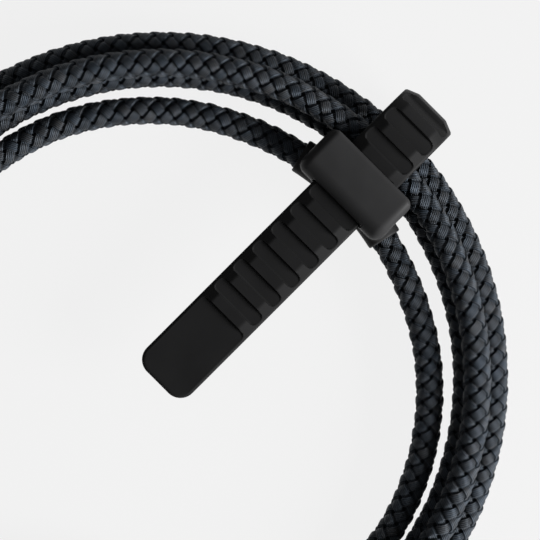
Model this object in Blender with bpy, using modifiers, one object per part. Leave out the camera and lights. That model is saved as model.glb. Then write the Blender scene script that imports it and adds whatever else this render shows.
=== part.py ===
"""A coiled, braided charging cable with a USB-C plug on each end and a ribbed silicone cable tie.

The coil lies flat with +Z up. Three strands run as a bundle and a fourth runs apart, inside them.
The tie sits at the coil's +X side: its keeper rides on the inner strand and its strap loops under
and over the bundle. The origin is on the ground, in the middle of the strap's flat underside below
the bundle. Everything is in metres.
"""

import math

import bmesh
import bpy
from mathutils import Matrix, Vector

# ---------------------------------------------------------------------------
# Driving dimensions, in metres (angles in degrees)
# ---------------------------------------------------------------------------

GAP = 0.0003  # clearance between pieces that touch
CUT_MARGIN = 0.0030  # how far a cutting tool runs past what it cuts

# Cord and coil. Angles run round the coil's centre from the tie, at 0.
CORD_DIAMETER = 0.0052
COIL_RADIUS = 0.0560  # centreline of the bundle's inner strand
STRAND_SQUEEZE = 0.0001  # how far two strands that touch press into each other
TOP_STRAND_LEAN = 0.0016  # how far outside the inner strand the top strand lies
INNER_STRAND_GAP = 0.00255  # clear space between the lone strand and the bundle, at the tie
LONE_STRAND_DRIFT = 0.0061  # how much nearer the bundle it would be opposite the tie
LONE_STRAND_SINK = 1.6  # how early it comes down to the ground
LEVEL_ANGLE = 14.0  # the lone strand keeps its place this far to each side of the tie
EASED_ANGLE = 40.0  # and follows its own curve from here on
INNER_TURN_START = 279.0  # where the lone strand's turn begins
INNER_TURN_END = 525.0  # where it joins the bundle
INNER_LEAD = (  # from the inner plug to the lone strand's turn, as angle, radius and height
    (245.6, 0.04471, 0.0037),
    (254.6, 0.04709, 0.0037),
    (263.0, 0.04892, 0.0038),
    (271.0, 0.05006, 0.0040),
)
TURN_STEP = 10.0  # angle between the points of a turn's route
TAIL_START = 112.0  # where the outer tail leaves the bundle
TAIL_END = 186.0  # where it begins to swing out to its plug
OUTER_LEAD = ((190.0, 0.06670, 0.0029), (196.0, 0.06710, 0.0035))  # from there to its plug
CORD_STEP = 0.0056  # between the points of a cord's tube
BUNDLE_WEB = 0.8  # least reach of the bundle's solid from its middle, in cord radii

# Strap
STRAP_WIDTH = 0.01165
STRAP_THICKNESS = 0.0025
STRAP_EDGE_HEIGHT = 0.0015  # upright part of the strap's sides, below their sloping facets
STRAP_FACET_WIDTH = 0.00243  # of those facets at the ribs' full height
STRAP_TIP_RADIUS = 0.0031
TAIL_REACH = 0.0004  # how far the strap's tip passes the coil's centre
TAIL_DROOP = 0.0015
LOOP_SLACK = 0.0039  # between the bundle's outer strand and the strap's loop
RAMP_TOP = 0.3  # where the ramp meets the bundle's top, in cord radii outside the top strand's middle
RIB_COUNT = 12
RIB_PITCH = 0.00482
RIB_WIDTH = 0.0023
RIB_HEIGHT = 0.0006
RIB_SLOPE = 0.0004
STATION_STEP = 0.0015  # between the strap's sections where it bends
TIP_STATIONS = (0.06, 0.25, 0.55, 1.0)  # of its round tip's sections, in tip radii from the end
ROOT_STEPS = 40  # of the strap's line below the bundle
LOOP_STEPS = 48  # round its loop
TAIL_STEPS = 240  # and back over the bundle to its tip
END_PAD_LENGTH = 0.0173  # from the tip to the first rib's near side
ANCHOR_LENGTH = 0.0028  # of the wide bar that holds the strap's root in the keeper
ANCHOR_WIDTH = 0.0150
ANCHOR_WALL = 0.0013  # between that bar's recess and the keeper's inner face
ANCHOR_NECK = GAP / 2  # length over which the bar narrows to the strap

# Keeper
KEEPER_LENGTH = 0.0201  # along the cord
KEEPER_REACH = 0.00325  # from the lone strand's centreline to the keeper's inner face
KEEPER_STANDOFF = 0.0002  # from the top strand's side to the keeper's outer face
KEEPER_END_ROUNDING = 0.0017
KEEPER_INNER_ROUNDING = 0.0021
KEEPER_EDGE_ROUNDING = 0.0005
BORE_FLOOR = 0.0008  # between the strap's root and the bore
BORE_ROOF = 0.0014  # between the bore and the slot
SLOT_ROOF = 0.0011
COLLAR_WALL = 0.0005
COLLAR_LENGTH = 0.0220

# Plug. Its X axis runs from the cord's entry, at 0, to the mouth.
RELIEF_LENGTH = 0.0125
RELIEF_REAR_RADIUS = 0.0033
RELIEF_FRONT_RADIUS = 0.0037
RELIEF_GROOVE_DEPTH = 0.00025
RELIEF_GROOVES = 4
RELIEF_GROOVE = (0.68, 0.74, 0.94)  # edge, floor's start and floor's end, as shares of the groove spacing
COVER_LENGTH = 0.0205
COVER_WIDTH = 0.0122
COVER_HEIGHT = 0.0078
COVER_WALL = 0.0008
COVER_EDGE_RADIUS = 0.0028
COVER_FRONT_RADIUS = 0.0007
SHELL_WIDTH = 0.00825
SHELL_HEIGHT = 0.0024
SHELL_WALL = 0.0003
SHELL_REACH = 0.00665  # how far the shell stands out of the cover
SHELL_LENGTH = 0.0131
PLUG_FIT = 0.00015  # between the small pieces inside a plug
TONGUE_SPACE = (0.00675, 0.0008)  # width and height of the space for the socket's tongue
CONTACT_COUNT = 12
CONTACT_PITCH = 0.0005
CONTACT_WIDTH = 0.00026
CONTACT_THICKNESS = 0.00012
CONTACT_HEIGHT = 0.0003  # of a contact's middle above the plug's mid-plane
CONTACT_BAR = 0.0006
BOARD_LENGTH = 0.0088
BOARD_WIDTH = 0.0086
BOARD_THICKNESS = 0.0004
SOLDER_LAP = 0.0016  # of the contacts over the board
CHIP_SIZE = 0.0020
CHIP_HEIGHT = 0.0006
LATCH_WIDTH = 0.0065
LATCH_ARM = 0.00025
LATCH_THICKNESS = 0.00036
LATCH_BUMP = (0.0008, 0.0013, 0.0018)  # from the arm's front to its bump's start, peak and end
CAN_WIDTH = 0.0094
CAN_HEIGHT = 0.0050
CAN_WALL = 0.0002
CRIMP_LENGTH = 0.0022
CRIMP_WALL = 0.0002
WIRE_DIAMETER = 0.0007
WIRE_SPACING = 0.0014
WIRE_LAP = 0.0012  # of each wire over the board
WIRE_RISE = 1.8  # of a wire where it leaves the cord, above the plug's mid-plane, in its diameters
WIRE_FALL = 1.3  # how much sooner than its end a wire comes down to the board
WIRE_STEPS = 6
SOLDER_GAP = PLUG_FIT / 3  # below what is soldered to the board

# Where each plug lies: the angle and radius of its cord's entry about the coil's centre, and the
# heading of its mouth
INNER_PLUG = {"angle": 235.51, "radius": 0.04199, "heading": 126.0}
OUTER_PLUG = {"angle": 204.0, "radius": 0.0679, "heading": 286.0}

# ---------------------------------------------------------------------------
# Places that follow from the driving dimensions
# ---------------------------------------------------------------------------

CORD_RADIUS = CORD_DIAMETER / 2
STRAND_PITCH = CORD_DIAMETER - STRAND_SQUEEZE
OUTER_STRAND = COIL_RADIUS + STRAND_PITCH
TOP_STRAND = COIL_RADIUS + TOP_STRAND_LEAN
TOP_STRAND_RISE = math.sqrt(STRAND_PITCH**2 - TOP_STRAND_LEAN**2)
LONE_STRAND = COIL_RADIUS - CORD_DIAMETER - INNER_STRAND_GAP
TAIL_RADIUS = OUTER_STRAND + CORD_DIAMETER + GAP
COIL_CENTRE = -(COIL_RADIUS + OUTER_STRAND) / 2  # the coil's centre, on the X axis

BORE_RADIUS = CORD_RADIUS + GAP
TIE_LIFT = STRAP_THICKNESS + GAP  # how far the strap lifts the bundle at the tie
COIL_TILT = math.asin(TIE_LIFT / 2 / OUTER_STRAND)
COIL_HEIGHT = CORD_RADIUS + TIE_LIFT / 2  # of the coil's centre
BUNDLE_HEIGHT = CORD_RADIUS + TIE_LIFT  # of the two lower strands at the tie
TOP_HEIGHT = BUNDLE_HEIGHT + TOP_STRAND_RISE
BORE_HEIGHT = STRAP_THICKNESS + GAP + BORE_FLOOR + BORE_RADIUS

STRAP_TOP = TOP_HEIGHT + CORD_RADIUS + GAP  # the strap's underside where it crosses the bundle
SLOT_HEIGHT = BORE_HEIGHT + BORE_RADIUS + BORE_ROOF + GAP  # and in the keeper
LOOP_RADIUS = (STRAP_TOP - STRAP_THICKNESS) / 2
LOOP_X = OUTER_STRAND + CORD_RADIUS + LOOP_SLACK - LOOP_RADIUS
LOOP_Z = STRAP_THICKNESS + LOOP_RADIUS
RAMP_TOP_X = TOP_STRAND + RAMP_TOP * CORD_RADIUS
RAMP_FOOT_X = LONE_STRAND
KEEPER_INNER_X = LONE_STRAND - KEEPER_REACH
KEEPER_OUTER_X = TOP_STRAND - CORD_RADIUS - KEEPER_STANDOFF
ANCHOR_X = KEEPER_INNER_X + ANCHOR_WALL + GAP

COVER_REAR = RELIEF_LENGTH + GAP
COVER_FRONT = COVER_REAR + COVER_LENGTH
MOUTH = COVER_FRONT + SHELL_REACH
SHELL_REAR = MOUTH - SHELL_LENGTH
BOARD_FRONT = SHELL_REAR - PLUG_FIT
BOARD_REAR = BOARD_FRONT - BOARD_LENGTH
CORD_END = COVER_REAR + COVER_WALL + 2 * GAP + CRIMP_LENGTH
PLUG_AXIS = COVER_HEIGHT / 2


# ---------------------------------------------------------------------------
# Helpers
# ---------------------------------------------------------------------------


def clear_scene():
    for item in list(bpy.data.objects):
        bpy.data.objects.remove(item, do_unlink=True)


def new_collection(name):
    collection = bpy.data.collections.new(name)
    bpy.context.scene.collection.children.link(collection)
    return collection


def new_material(name, colour, roughness, metallic=0.0):
    material = bpy.data.materials.new(name)
    material.use_nodes = True
    shader = material.node_tree.nodes["Principled BSDF"]
    shader.inputs["Base Color"].default_value = (*colour, 1.0)
    shader.inputs["Roughness"].default_value = roughness
    shader.inputs["Metallic"].default_value = metallic
    material.diffuse_color = (*colour, 1.0)
    return material


def add_object(name, data, collection, material=None, parent=None):
    item = bpy.data.objects.new(name, data)
    collection.objects.link(item)
    item.parent = parent
    if material is not None:
        data.materials.append(material)
    return item


def mesh_from(bm, name):
    mesh = bpy.data.meshes.new(name)
    bm.to_mesh(mesh)
    bm.free()
    return mesh


def polar(angle, radius, height):
    """A point at that angle and radius about the coil's centre."""
    turn = math.radians(angle)
    return Vector((COIL_CENTRE + radius * math.cos(turn), radius * math.sin(turn), height))


def ease(share):
    """0 to 1 with level ends."""
    share = min(max(share, 0.0), 1.0)
    return share * share * (3 - 2 * share)


def smooth_through(points, pieces=12):
    """A Catmull-Rom curve through the points, as a fine polyline."""
    ends = [2 * points[0] - points[1], *points, 2 * points[-1] - points[-2]]
    line = []
    for before, start, stop, after in zip(ends, ends[1:], ends[2:], ends[3:]):
        for step in range(pieces):
            t = step / pieces
            line.append(
                0.5
                * (
                    2 * start
                    + (stop - before) * t
                    + (2 * before - 5 * start + 4 * stop - after) * t**2
                    + (3 * start - before - 3 * stop + after) * t**3
                )
            )
    return [*line, points[-1]]


def evenly(line, spacing):
    """The same line with its points about that far apart."""
    lengths = [0.0]
    for start, stop in zip(line, line[1:]):
        lengths.append(lengths[-1] + (stop - start).length)
    count = max(2, round(lengths[-1] / spacing))
    points, index = [], 0
    for step in range(count + 1):
        target = lengths[-1] * step / count
        while index < len(line) - 2 and lengths[index + 1] < target:
            index += 1
        share = (target - lengths[index]) / (lengths[index + 1] - lengths[index])
        points.append(line[index].lerp(line[index + 1], share))
    return points


def tube(name, points, radius, collection, material=None, parent=None, resolution=2):
    """A round tube along the points, with filled caps."""
    curve = bpy.data.curves.new(name, "CURVE")
    curve.dimensions = "3D"
    curve.bevel_depth = radius
    curve.bevel_resolution = resolution
    curve.use_fill_caps = True
    spline = curve.splines.new("POLY")
    spline.points.add(len(points) - 1)
    for target, point in zip(spline.points, points):
        target.co = (*point, 1.0)
    return add_object(name, curve, collection, material, parent)


def flat_outline(name, outlines, thickness, collection, material=None, parent=None):
    """A flat plate with those outlines in its XY plane, half its thickness to each side."""
    curve = bpy.data.curves.new(name, "CURVE")
    curve.dimensions = "2D"
    curve.fill_mode = "BOTH"
    curve.extrude = thickness / 2
    for outline in outlines:
        spline = curve.splines.new("POLY")
        spline.points.add(len(outline) - 1)
        spline.use_cyclic_u = True
        for target, (x, y) in zip(spline.points, outline):
            target.co = (x, y, 0.0, 1.0)
    return add_object(name, curve, collection, material, parent)


def as_mesh(item, collection):
    """The curve object as a closed mesh object of the same name, place and parent."""
    bpy.context.view_layer.update()
    evaluated = item.evaluated_get(bpy.context.evaluated_depsgraph_get())
    mesh = bpy.data.meshes.new_from_object(evaluated)
    bm = bmesh.new()
    bm.from_mesh(mesh)
    bmesh.ops.remove_doubles(bm, verts=bm.verts, dist=GAP / 100)
    bmesh.ops.recalc_face_normals(bm, faces=bm.faces)
    bm.to_mesh(mesh)
    bm.free()
    name, parent, place = item.name, item.parent, item.matrix_world.copy()
    bpy.data.objects.remove(item, do_unlink=True)
    made = add_object(name, mesh, collection, parent=parent)
    made.matrix_world = place
    return made


def turned(name, profile, steps, collection, material=None, parent=None):
    """A turned body about Z: the profile's (radius, height) points go down its outer side."""
    mesh = bpy.data.meshes.new(name)
    edges = [(i, (i + 1) % len(profile)) for i in range(len(profile))]
    mesh.from_pydata([(radius, 0.0, height) for radius, height in profile], edges, [])
    item = add_object(name, mesh, collection, material, parent)
    screw = item.modifiers.new("turn", "SCREW")
    screw.steps = screw.render_steps = steps
    screw.use_merge_vertices = True
    screw.merge_threshold = GAP / 100
    return item


def block(name, low, high, collection, material=None, parent=None):
    """A box between two corners."""
    size = [b - a for a, b in zip(low, high)]
    middle = [(a + b) / 2 for a, b in zip(low, high)]
    bm = bmesh.new()
    bmesh.ops.create_cube(bm, size=1.0, matrix=Matrix.Translation(middle) @ Matrix.Diagonal((*size, 1.0)))
    return add_object(name, mesh_from(bm, name), collection, material, parent)


def round_edges(item, chosen, radius, segments):
    """Rounds the mesh's edges for which chosen(start, end) holds."""
    bm = bmesh.new()
    bm.from_mesh(item.data)
    edges = [edge for edge in bm.edges if chosen(edge.verts[0].co, edge.verts[1].co)]
    bmesh.ops.bevel(
        bm, geom=edges, offset=radius, segments=segments, profile=0.5, affect="EDGES", clamp_overlap=True
    )
    bm.to_mesh(item.data)
    bm.free()


def hide_tool(item):
    item.hide_render = True
    item.display_type = "WIRE"
    return item


def combine(item, operation, tools):
    for tool in tools:
        modifier = item.modifiers.new(tool.name, "BOOLEAN")
        modifier.operation = operation
        modifier.solver = "EXACT"
        modifier.object = hide_tool(tool)


def stadium(width, height, turns=6):
    """The outline of a slot with round ends, its width along X."""
    radius = height / 2
    reach = width / 2 - radius
    points = []
    for side, first in ((1, -90), (-1, 90)):
        for step in range(turns + 1):
            angle = math.radians(first + 180 * step / turns)
            points.append((side * reach + radius * math.cos(angle), radius * math.sin(angle)))
    return points


# ---------------------------------------------------------------------------
# Cord
# ---------------------------------------------------------------------------


def lone_strand_place(angle):
    """Radius and height of the lone inner strand at an angle about the coil's centre."""
    from_tie = abs((angle + 180) % 360 - 180)
    away = (1 - math.cos(math.radians(from_tie))) / 2
    away *= ease((from_tie - LEVEL_ANGLE) / (EASED_ANGLE - LEVEL_ANGLE))
    beside_bundle = COIL_RADIUS - CORD_DIAMETER - GAP
    height = CORD_RADIUS + (BORE_HEIGHT - CORD_RADIUS) * (1 - away) ** LONE_STRAND_SINK
    return min(LONE_STRAND + LONE_STRAND_DRIFT * away, beside_bundle), height


def bundle_outline(samples=24):
    """The outer shape of the three strands, as (radius, height) from the coil's centre.

    It is as far as the strands reach in each direction from their middle, and never less than the
    web that closes the grooves between them. It goes clockwise, down the outer side.
    """
    centres = [
        Vector((COIL_RADIUS, 0.0)),
        Vector((OUTER_STRAND, 0.0)),
        Vector((TOP_STRAND, TOP_STRAND_RISE)),
    ]
    middle = sum(centres, Vector((0.0, 0.0))) / len(centres)
    web = BUNDLE_WEB * CORD_RADIUS
    outline = []
    for step in range(samples):
        angle = -2 * math.pi * step / samples
        ray = Vector((math.cos(angle), math.sin(angle)))
        reach = web
        for centre in centres:
            along = (centre - middle).dot(ray)
            aside_squared = (centre - middle).length_squared - along**2
            if aside_squared < CORD_RADIUS**2:
                reach = max(reach, along + math.sqrt(CORD_RADIUS**2 - aside_squared))
        outline.append(tuple(middle + reach * ray))
    return outline


def ring_cutter(name, radius, height, tube_radius, collection):
    """A ring about the coil's axis that clears one strand from the keeper."""
    bpy.ops.mesh.primitive_torus_add(
        major_segments=120, minor_segments=20, major_radius=radius, minor_radius=tube_radius
    )
    ring = bpy.context.object
    ring.name = ring.data.name = name
    for owner in list(ring.users_collection):
        owner.objects.unlink(ring)
    collection.objects.link(ring)
    ring.location = (COIL_CENTRE, 0.0, height)
    return ring


def plug_point(plug, along):
    """A point on a plug's axis, that far from its cord's entry towards the mouth."""
    heading = math.radians(plug["heading"])
    entry = polar(plug["angle"], plug["radius"], PLUG_AXIS)
    return entry + along * Vector((math.cos(heading), math.sin(heading), 0.0))


def turn_angles(start, stop):
    return [start + TURN_STEP * i for i in range(int((stop - start) / TURN_STEP) + 1)]


def inner_turn_route():
    """From the inner plug along the lone strand's turn, to where it joins the bundle."""
    straight = [plug_point(INNER_PLUG, along) for along in (CORD_END, CORD_END / 2, 0.0, -PLUG_AXIS)]
    lead = [polar(*place) for place in INNER_LEAD]
    turn = [polar(a, *lone_strand_place(a)) for a in turn_angles(INNER_TURN_START, INNER_TURN_END)]
    return [*straight, *lead, *turn]


def outer_tail_route():
    """From the bundle's outer side to the outer plug."""
    turn = [polar(a, TAIL_RADIUS, CORD_RADIUS) for a in turn_angles(TAIL_START, TAIL_END)]
    lead = [polar(*place) for place in OUTER_LEAD]
    straight = [plug_point(OUTER_PLUG, along) for along in (-PLUG_AXIS, 0.0, CORD_END / 2, CORD_END)]
    return [*turn, *lead, *straight]


def make_cord(cable, braid):
    coil = turned("cord_coil", bundle_outline(), 64, cable, braid)
    coil.location = (COIL_CENTRE, 0.0, COIL_HEIGHT)
    coil.rotation_euler = (0.0, -COIL_TILT, 0.0)
    for name, route in (("cord_inner_turn", inner_turn_route()), ("cord_tail", outer_tail_route())):
        tube(name, evenly(smooth_through(route), CORD_STEP), CORD_RADIUS, cable, braid)


# ---------------------------------------------------------------------------
# Cable tie
# ---------------------------------------------------------------------------


def ramp_height(x):
    """The strap's underside between the keeper and the top of the bundle."""
    share = ease((x - RAMP_FOOT_X) / (RAMP_TOP_X - RAMP_FOOT_X))
    return SLOT_HEIGHT + (STRAP_TOP - SLOT_HEIGHT) * share


def strap_underside():
    """The strap's inner line from its root to its tip, as fine (x, z) points from the coil's centre."""
    line = [
        Vector((ANCHOR_X + (LOOP_X - ANCHOR_X) * i / ROOT_STEPS, STRAP_THICKNESS)) for i in range(ROOT_STEPS)
    ]
    for i in range(LOOP_STEPS):
        angle = math.radians(-90 + 180 * i / LOOP_STEPS)
        line.append(Vector((LOOP_X + LOOP_RADIUS * math.cos(angle), LOOP_Z + LOOP_RADIUS * math.sin(angle))))
    tip = -TAIL_REACH
    for i in range(TAIL_STEPS + 1):
        x = LOOP_X + (tip - LOOP_X) * i / TAIL_STEPS
        droop = TAIL_DROOP * max(0.0, (KEEPER_INNER_X - x) / (KEEPER_INNER_X - tip)) ** 2
        line.append(Vector((x, ramp_height(x) - droop)))
    return line


class StrapLine:
    """Places along the strap, by distance from its root on the line through its middle."""

    def __init__(self):
        inner = strap_underside()
        self.middle, self.outward = [], []
        for before, here, after in zip([inner[0], *inner], inner, [*inner[1:], inner[-1]]):
            heading = (after - before).normalized()
            outward = Vector((heading.y, -heading.x))
            self.outward.append(outward)
            self.middle.append(here + outward * STRAP_THICKNESS / 2)
        self.lengths = [0.0]
        for start, stop in zip(self.middle, self.middle[1:]):
            self.lengths.append(self.lengths[-1] + (stop - start).length)
        self.length = self.lengths[-1]

    def at(self, distance):
        """The middle line's point and outward direction there."""
        index = 0
        while index < len(self.lengths) - 2 and self.lengths[index + 1] < distance:
            index += 1
        span = self.lengths[index + 1] - self.lengths[index]
        share = (distance - self.lengths[index]) / span
        point = self.middle[index].lerp(self.middle[index + 1], share)
        outward = self.outward[index].lerp(self.outward[index + 1], share).normalized()
        return point, outward

    def distance_at_x(self, x):
        """How far along the upper run the strap passes this x."""
        for point, length in zip(reversed(self.middle), reversed(self.lengths)):
            if point.x >= x:
                return length
        return 0.0


def loft(name, loops):
    """A closed mesh through loops of as many points each, with flat ends."""
    bm = bmesh.new()
    rings = [[bm.verts.new(point) for point in loop] for loop in loops]
    for here, after in zip(rings, rings[1:]):
        for i in range(len(here)):
            j = (i + 1) % len(here)
            bm.faces.new((here[i], here[j], after[j], after[i]))
    bm.faces.new(rings[0])
    bm.faces.new(list(reversed(rings[-1])))
    bmesh.ops.recalc_face_normals(bm, faces=bm.faces)
    return mesh_from(bm, name)


def band_mesh(name, line, stations, section):
    """A band swept along the strap's line, with section(station) giving its (y, height) points.

    Heights are from the strap's underside, outward.
    """
    loops = []
    for station in stations:
        point, outward = line.at(station)
        base = point - outward * STRAP_THICKNESS / 2
        loops.append(
            [
                (COIL_CENTRE + base.x + outward.x * up, across, base.y + outward.y * up)
                for across, up in section(station)
            ]
        )
    return loft(name, loops)


def rib_middles(line):
    first = line.length - END_PAD_LENGTH - RIB_WIDTH / 2
    return [first - i * RIB_PITCH for i in range(RIB_COUNT)]


def strap_stations(line):
    """Distances along the strap at which its section changes or its line bends."""
    stations = {0.0, ANCHOR_LENGTH, ANCHOR_LENGTH + ANCHOR_NECK, line.length}
    reach = RIB_WIDTH / 2
    for middle in rib_middles(line):
        stations |= {middle - reach - RIB_SLOPE, middle - reach, middle + reach, middle + reach + RIB_SLOPE}
    for share in TIP_STATIONS:
        stations.add(line.length - STRAP_TIP_RADIUS * share)
    distance = LOOP_X - ANCHOR_X
    while distance < line.length:
        if all(abs(distance - other) > STATION_STEP / 2 for other in stations):
            stations.add(distance)
        distance += STATION_STEP
    return sorted(stations)


def strap_section(line, ribs):
    """The strap's outline across, as a function of the distance along it."""

    def height(distance):
        for middle in ribs:
            beside = abs(distance - middle) - RIB_WIDTH / 2
            if beside < RIB_SLOPE:
                return STRAP_THICKNESS - RIB_HEIGHT * max(0.0, beside / RIB_SLOPE)
        return STRAP_THICKNESS if distance < ribs[-1] else STRAP_THICKNESS - RIB_HEIGHT

    def section(distance):
        half = (ANCHOR_WIDTH if distance <= ANCHOR_LENGTH else STRAP_WIDTH) / 2
        from_tip = line.length - distance
        if from_tip < STRAP_TIP_RADIUS:
            short = STRAP_TIP_RADIUS - from_tip
            half -= STRAP_TIP_RADIUS - math.sqrt(STRAP_TIP_RADIUS**2 - short**2)
        top = height(distance)
        facet_drop = (top - STRAP_EDGE_HEIGHT) / (STRAP_THICKNESS - STRAP_EDGE_HEIGHT)
        inset = half - STRAP_FACET_WIDTH * facet_drop
        return [
            (-half, 0.0),
            (half, 0.0),
            (half, STRAP_EDGE_HEIGHT),
            (inset, top),
            (-inset, top),
            (-half, STRAP_EDGE_HEIGHT),
        ]

    return section


def slot_cutter(line, tools):
    """The keeper's slot: the strap's own run through the keeper, with clearance all round."""
    start = line.distance_at_x(KEEPER_OUTER_X + CUT_MARGIN)
    stop = line.distance_at_x(KEEPER_INNER_X - CUT_MARGIN)
    half = STRAP_WIDTH / 2 + GAP
    outline = [
        (-half, -GAP),
        (half, -GAP),
        (half, STRAP_THICKNESS + GAP),
        (-half, STRAP_THICKNESS + GAP),
    ]
    stations = [start + (stop - start) * i / 12 for i in range(13)]
    return add_object("slot_tool", band_mesh("slot_tool", line, stations, lambda _: outline), tools)


def keeper_section(y, inset):
    """The keeper's block cut across the cord, that far inside its full outline."""
    top = ramp_height(KEEPER_OUTER_X) + STRAP_THICKNESS + GAP + SLOT_ROOF - inset
    inner_x, outer_x = KEEPER_INNER_X + inset, KEEPER_OUTER_X - inset
    corners = (
        (inner_x, inset, 1, 1, KEEPER_EDGE_ROUNDING),
        (outer_x, inset, -1, 1, KEEPER_EDGE_ROUNDING),
        (outer_x, top, -1, -1, KEEPER_EDGE_ROUNDING),
        (inner_x, top, 1, -1, KEEPER_INNER_ROUNDING),
    )
    steps = 4
    points = []
    for quarter, (x, z, inward_x, inward_z, full_radius) in enumerate(corners):
        radius = max(full_radius - inset, GAP)
        for step in range(steps + 1):
            angle = math.radians(180 + 90 * quarter + 90 * step / steps)
            across = x + radius * (inward_x + math.cos(angle))
            points.append((COIL_CENTRE + across, y, z + radius * (inward_z + math.sin(angle))))
    return points


def keeper_block():
    """The keeper before it is cut: a block with its ends rounded over on every side."""
    steps = 4
    straight_half = KEEPER_LENGTH / 2 - KEEPER_END_ROUNDING
    end = []
    for step in range(steps + 1):
        angle = math.radians(90 * step / steps)
        y = straight_half + KEEPER_END_ROUNDING * math.sin(angle)
        end.append((y, KEEPER_END_ROUNDING * (1 - math.cos(angle))))
    loops = [keeper_section(-y, inset) for y, inset in reversed(end)]
    loops += [keeper_section(y, inset) for y, inset in end]
    return loft("tie_keeper", loops)


def make_keeper(line, cable, tools, silicone):
    keeper = add_object("tie_keeper", keeper_block(), cable, silicone)

    half_turn = COLLAR_LENGTH / 2 / LONE_STRAND
    arc = [
        polar(math.degrees(half_turn * share / 6), LONE_STRAND, BORE_HEIGHT) for share in range(-6, 7)
    ]
    collar = as_mesh(tube("collar_tool", arc, BORE_RADIUS + COLLAR_WALL, tools, resolution=6), tools)
    combine(keeper, "UNION", [collar])

    bore = ring_cutter("bore_tool", LONE_STRAND, BORE_HEIGHT, BORE_RADIUS, tools)
    inner_strand = ring_cutter("inner_strand_tool", COIL_RADIUS, BUNDLE_HEIGHT, BORE_RADIUS, tools)
    top_strand = ring_cutter("top_strand_tool", TOP_STRAND, TOP_HEIGHT, BORE_RADIUS, tools)
    anchor_low = COIL_CENTRE + ANCHOR_X - GAP
    anchor_high = COIL_CENTRE + ANCHOR_X + ANCHOR_LENGTH + ANCHOR_NECK + GAP
    anchor_half = ANCHOR_WIDTH / 2 + GAP
    channel_half = STRAP_WIDTH / 2 + GAP
    roof = STRAP_THICKNESS + GAP
    anchor = block(
        "anchor_tool", (anchor_low, -anchor_half, -roof), (anchor_high, anchor_half, roof), tools
    )
    channel = block(
        "channel_tool",
        ((anchor_low + anchor_high) / 2, -channel_half, -roof),
        (COIL_CENTRE + KEEPER_OUTER_X + CUT_MARGIN, channel_half, roof),
        tools,
    )
    slot = slot_cutter(line, tools)
    combine(keeper, "DIFFERENCE", [bore, inner_strand, top_strand, slot, anchor, channel])


def make_tie(cable, tools, silicone):
    line = StrapLine()
    ribs = rib_middles(line)
    mesh = band_mesh("tie_strap", line, strap_stations(line), strap_section(line, ribs))
    add_object("tie_strap", mesh, cable, silicone)
    make_keeper(line, cable, tools, silicone)


# ---------------------------------------------------------------------------
# Plugs
# ---------------------------------------------------------------------------


def relief_profile():
    """The strain relief's section: its ringed outside from front to rear, then its bore."""
    outer = []
    ring = RELIEF_LENGTH / (RELIEF_GROOVES + 1)
    edge, floor_start, floor_end = RELIEF_GROOVE
    for index in range(RELIEF_GROOVES + 1):
        front = RELIEF_LENGTH - index * ring
        for along, depth in ((front, 0.0), (front - edge * ring, 0.0), (front - floor_start * ring, 1.0)):
            radius = RELIEF_REAR_RADIUS + (RELIEF_FRONT_RADIUS - RELIEF_REAR_RADIUS) * along / RELIEF_LENGTH
            if index < RELIEF_GROOVES or depth == 0.0:
                outer.append((radius - depth * RELIEF_GROOVE_DEPTH, along))
        if index < RELIEF_GROOVES:
            outer.append((outer[-1][0], front - floor_end * ring))
    outer.append((RELIEF_REAR_RADIUS, 0.0))
    return [*outer, (BORE_RADIUS, 0.0), (BORE_RADIUS, RELIEF_LENGTH)]


def along_plug(item):
    """Lays a piece made about Z along the plug's X axis."""
    item.rotation_euler = (0.0, math.pi / 2, 0.0)
    return item


def across_plug(item, low, high):
    """Lays an outline drawn in (y, z) across the plug, between two places on its X axis."""
    item.rotation_euler = (math.pi / 2, 0.0, math.pi / 2)
    item.location = ((low + high) / 2, 0.0, 0.0)
    return item


def make_cover(prefix, plug, cable, tools, material):
    half_width, half_height = COVER_WIDTH / 2, COVER_HEIGHT / 2
    cover = block(
        prefix + "cover",
        (COVER_REAR, -half_width, -half_height),
        (COVER_FRONT, half_width, half_height),
        cable,
        material,
        plug,
    )
    runs_along = COVER_LENGTH / 2
    round_edges(cover, lambda start, end: abs(start.x - end.x) > runs_along, COVER_EDGE_RADIUS, 5)
    round_edges(cover, lambda start, end: abs(start.x - end.x) < GAP, COVER_FRONT_RADIUS, 2)

    cavity = block(
        prefix + "cavity_tool",
        (COVER_REAR + COVER_WALL, COVER_WALL - half_width, COVER_WALL - half_height),
        (COVER_FRONT - COVER_WALL, half_width - COVER_WALL, half_height - COVER_WALL),
        tools,
        parent=plug,
    )
    round_edges(
        cavity,
        lambda start, end: abs(start.x - end.x) > runs_along,
        COVER_EDGE_RADIUS - COVER_WALL,
        4,
    )
    bpy.ops.mesh.primitive_cylinder_add(vertices=24, radius=BORE_RADIUS, depth=4 * COVER_WALL)
    hole = bpy.context.object
    hole.name = prefix + "cord_hole_tool"
    for owner in list(hole.users_collection):
        owner.objects.unlink(hole)
    tools.objects.link(hole)
    hole.parent = plug
    along_plug(hole).location = (COVER_REAR, 0.0, 0.0)
    mouth = flat_outline(
        prefix + "shell_hole_tool",
        [stadium(SHELL_WIDTH + 2 * PLUG_FIT, SHELL_HEIGHT + 2 * PLUG_FIT)],
        4 * COVER_WALL,
        tools,
        parent=plug,
    )
    across_plug(mouth, COVER_FRONT - 2 * COVER_WALL, COVER_FRONT + 2 * COVER_WALL)
    combine(cover, "DIFFERENCE", [cavity, hole, as_mesh(mouth, tools)])


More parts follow.
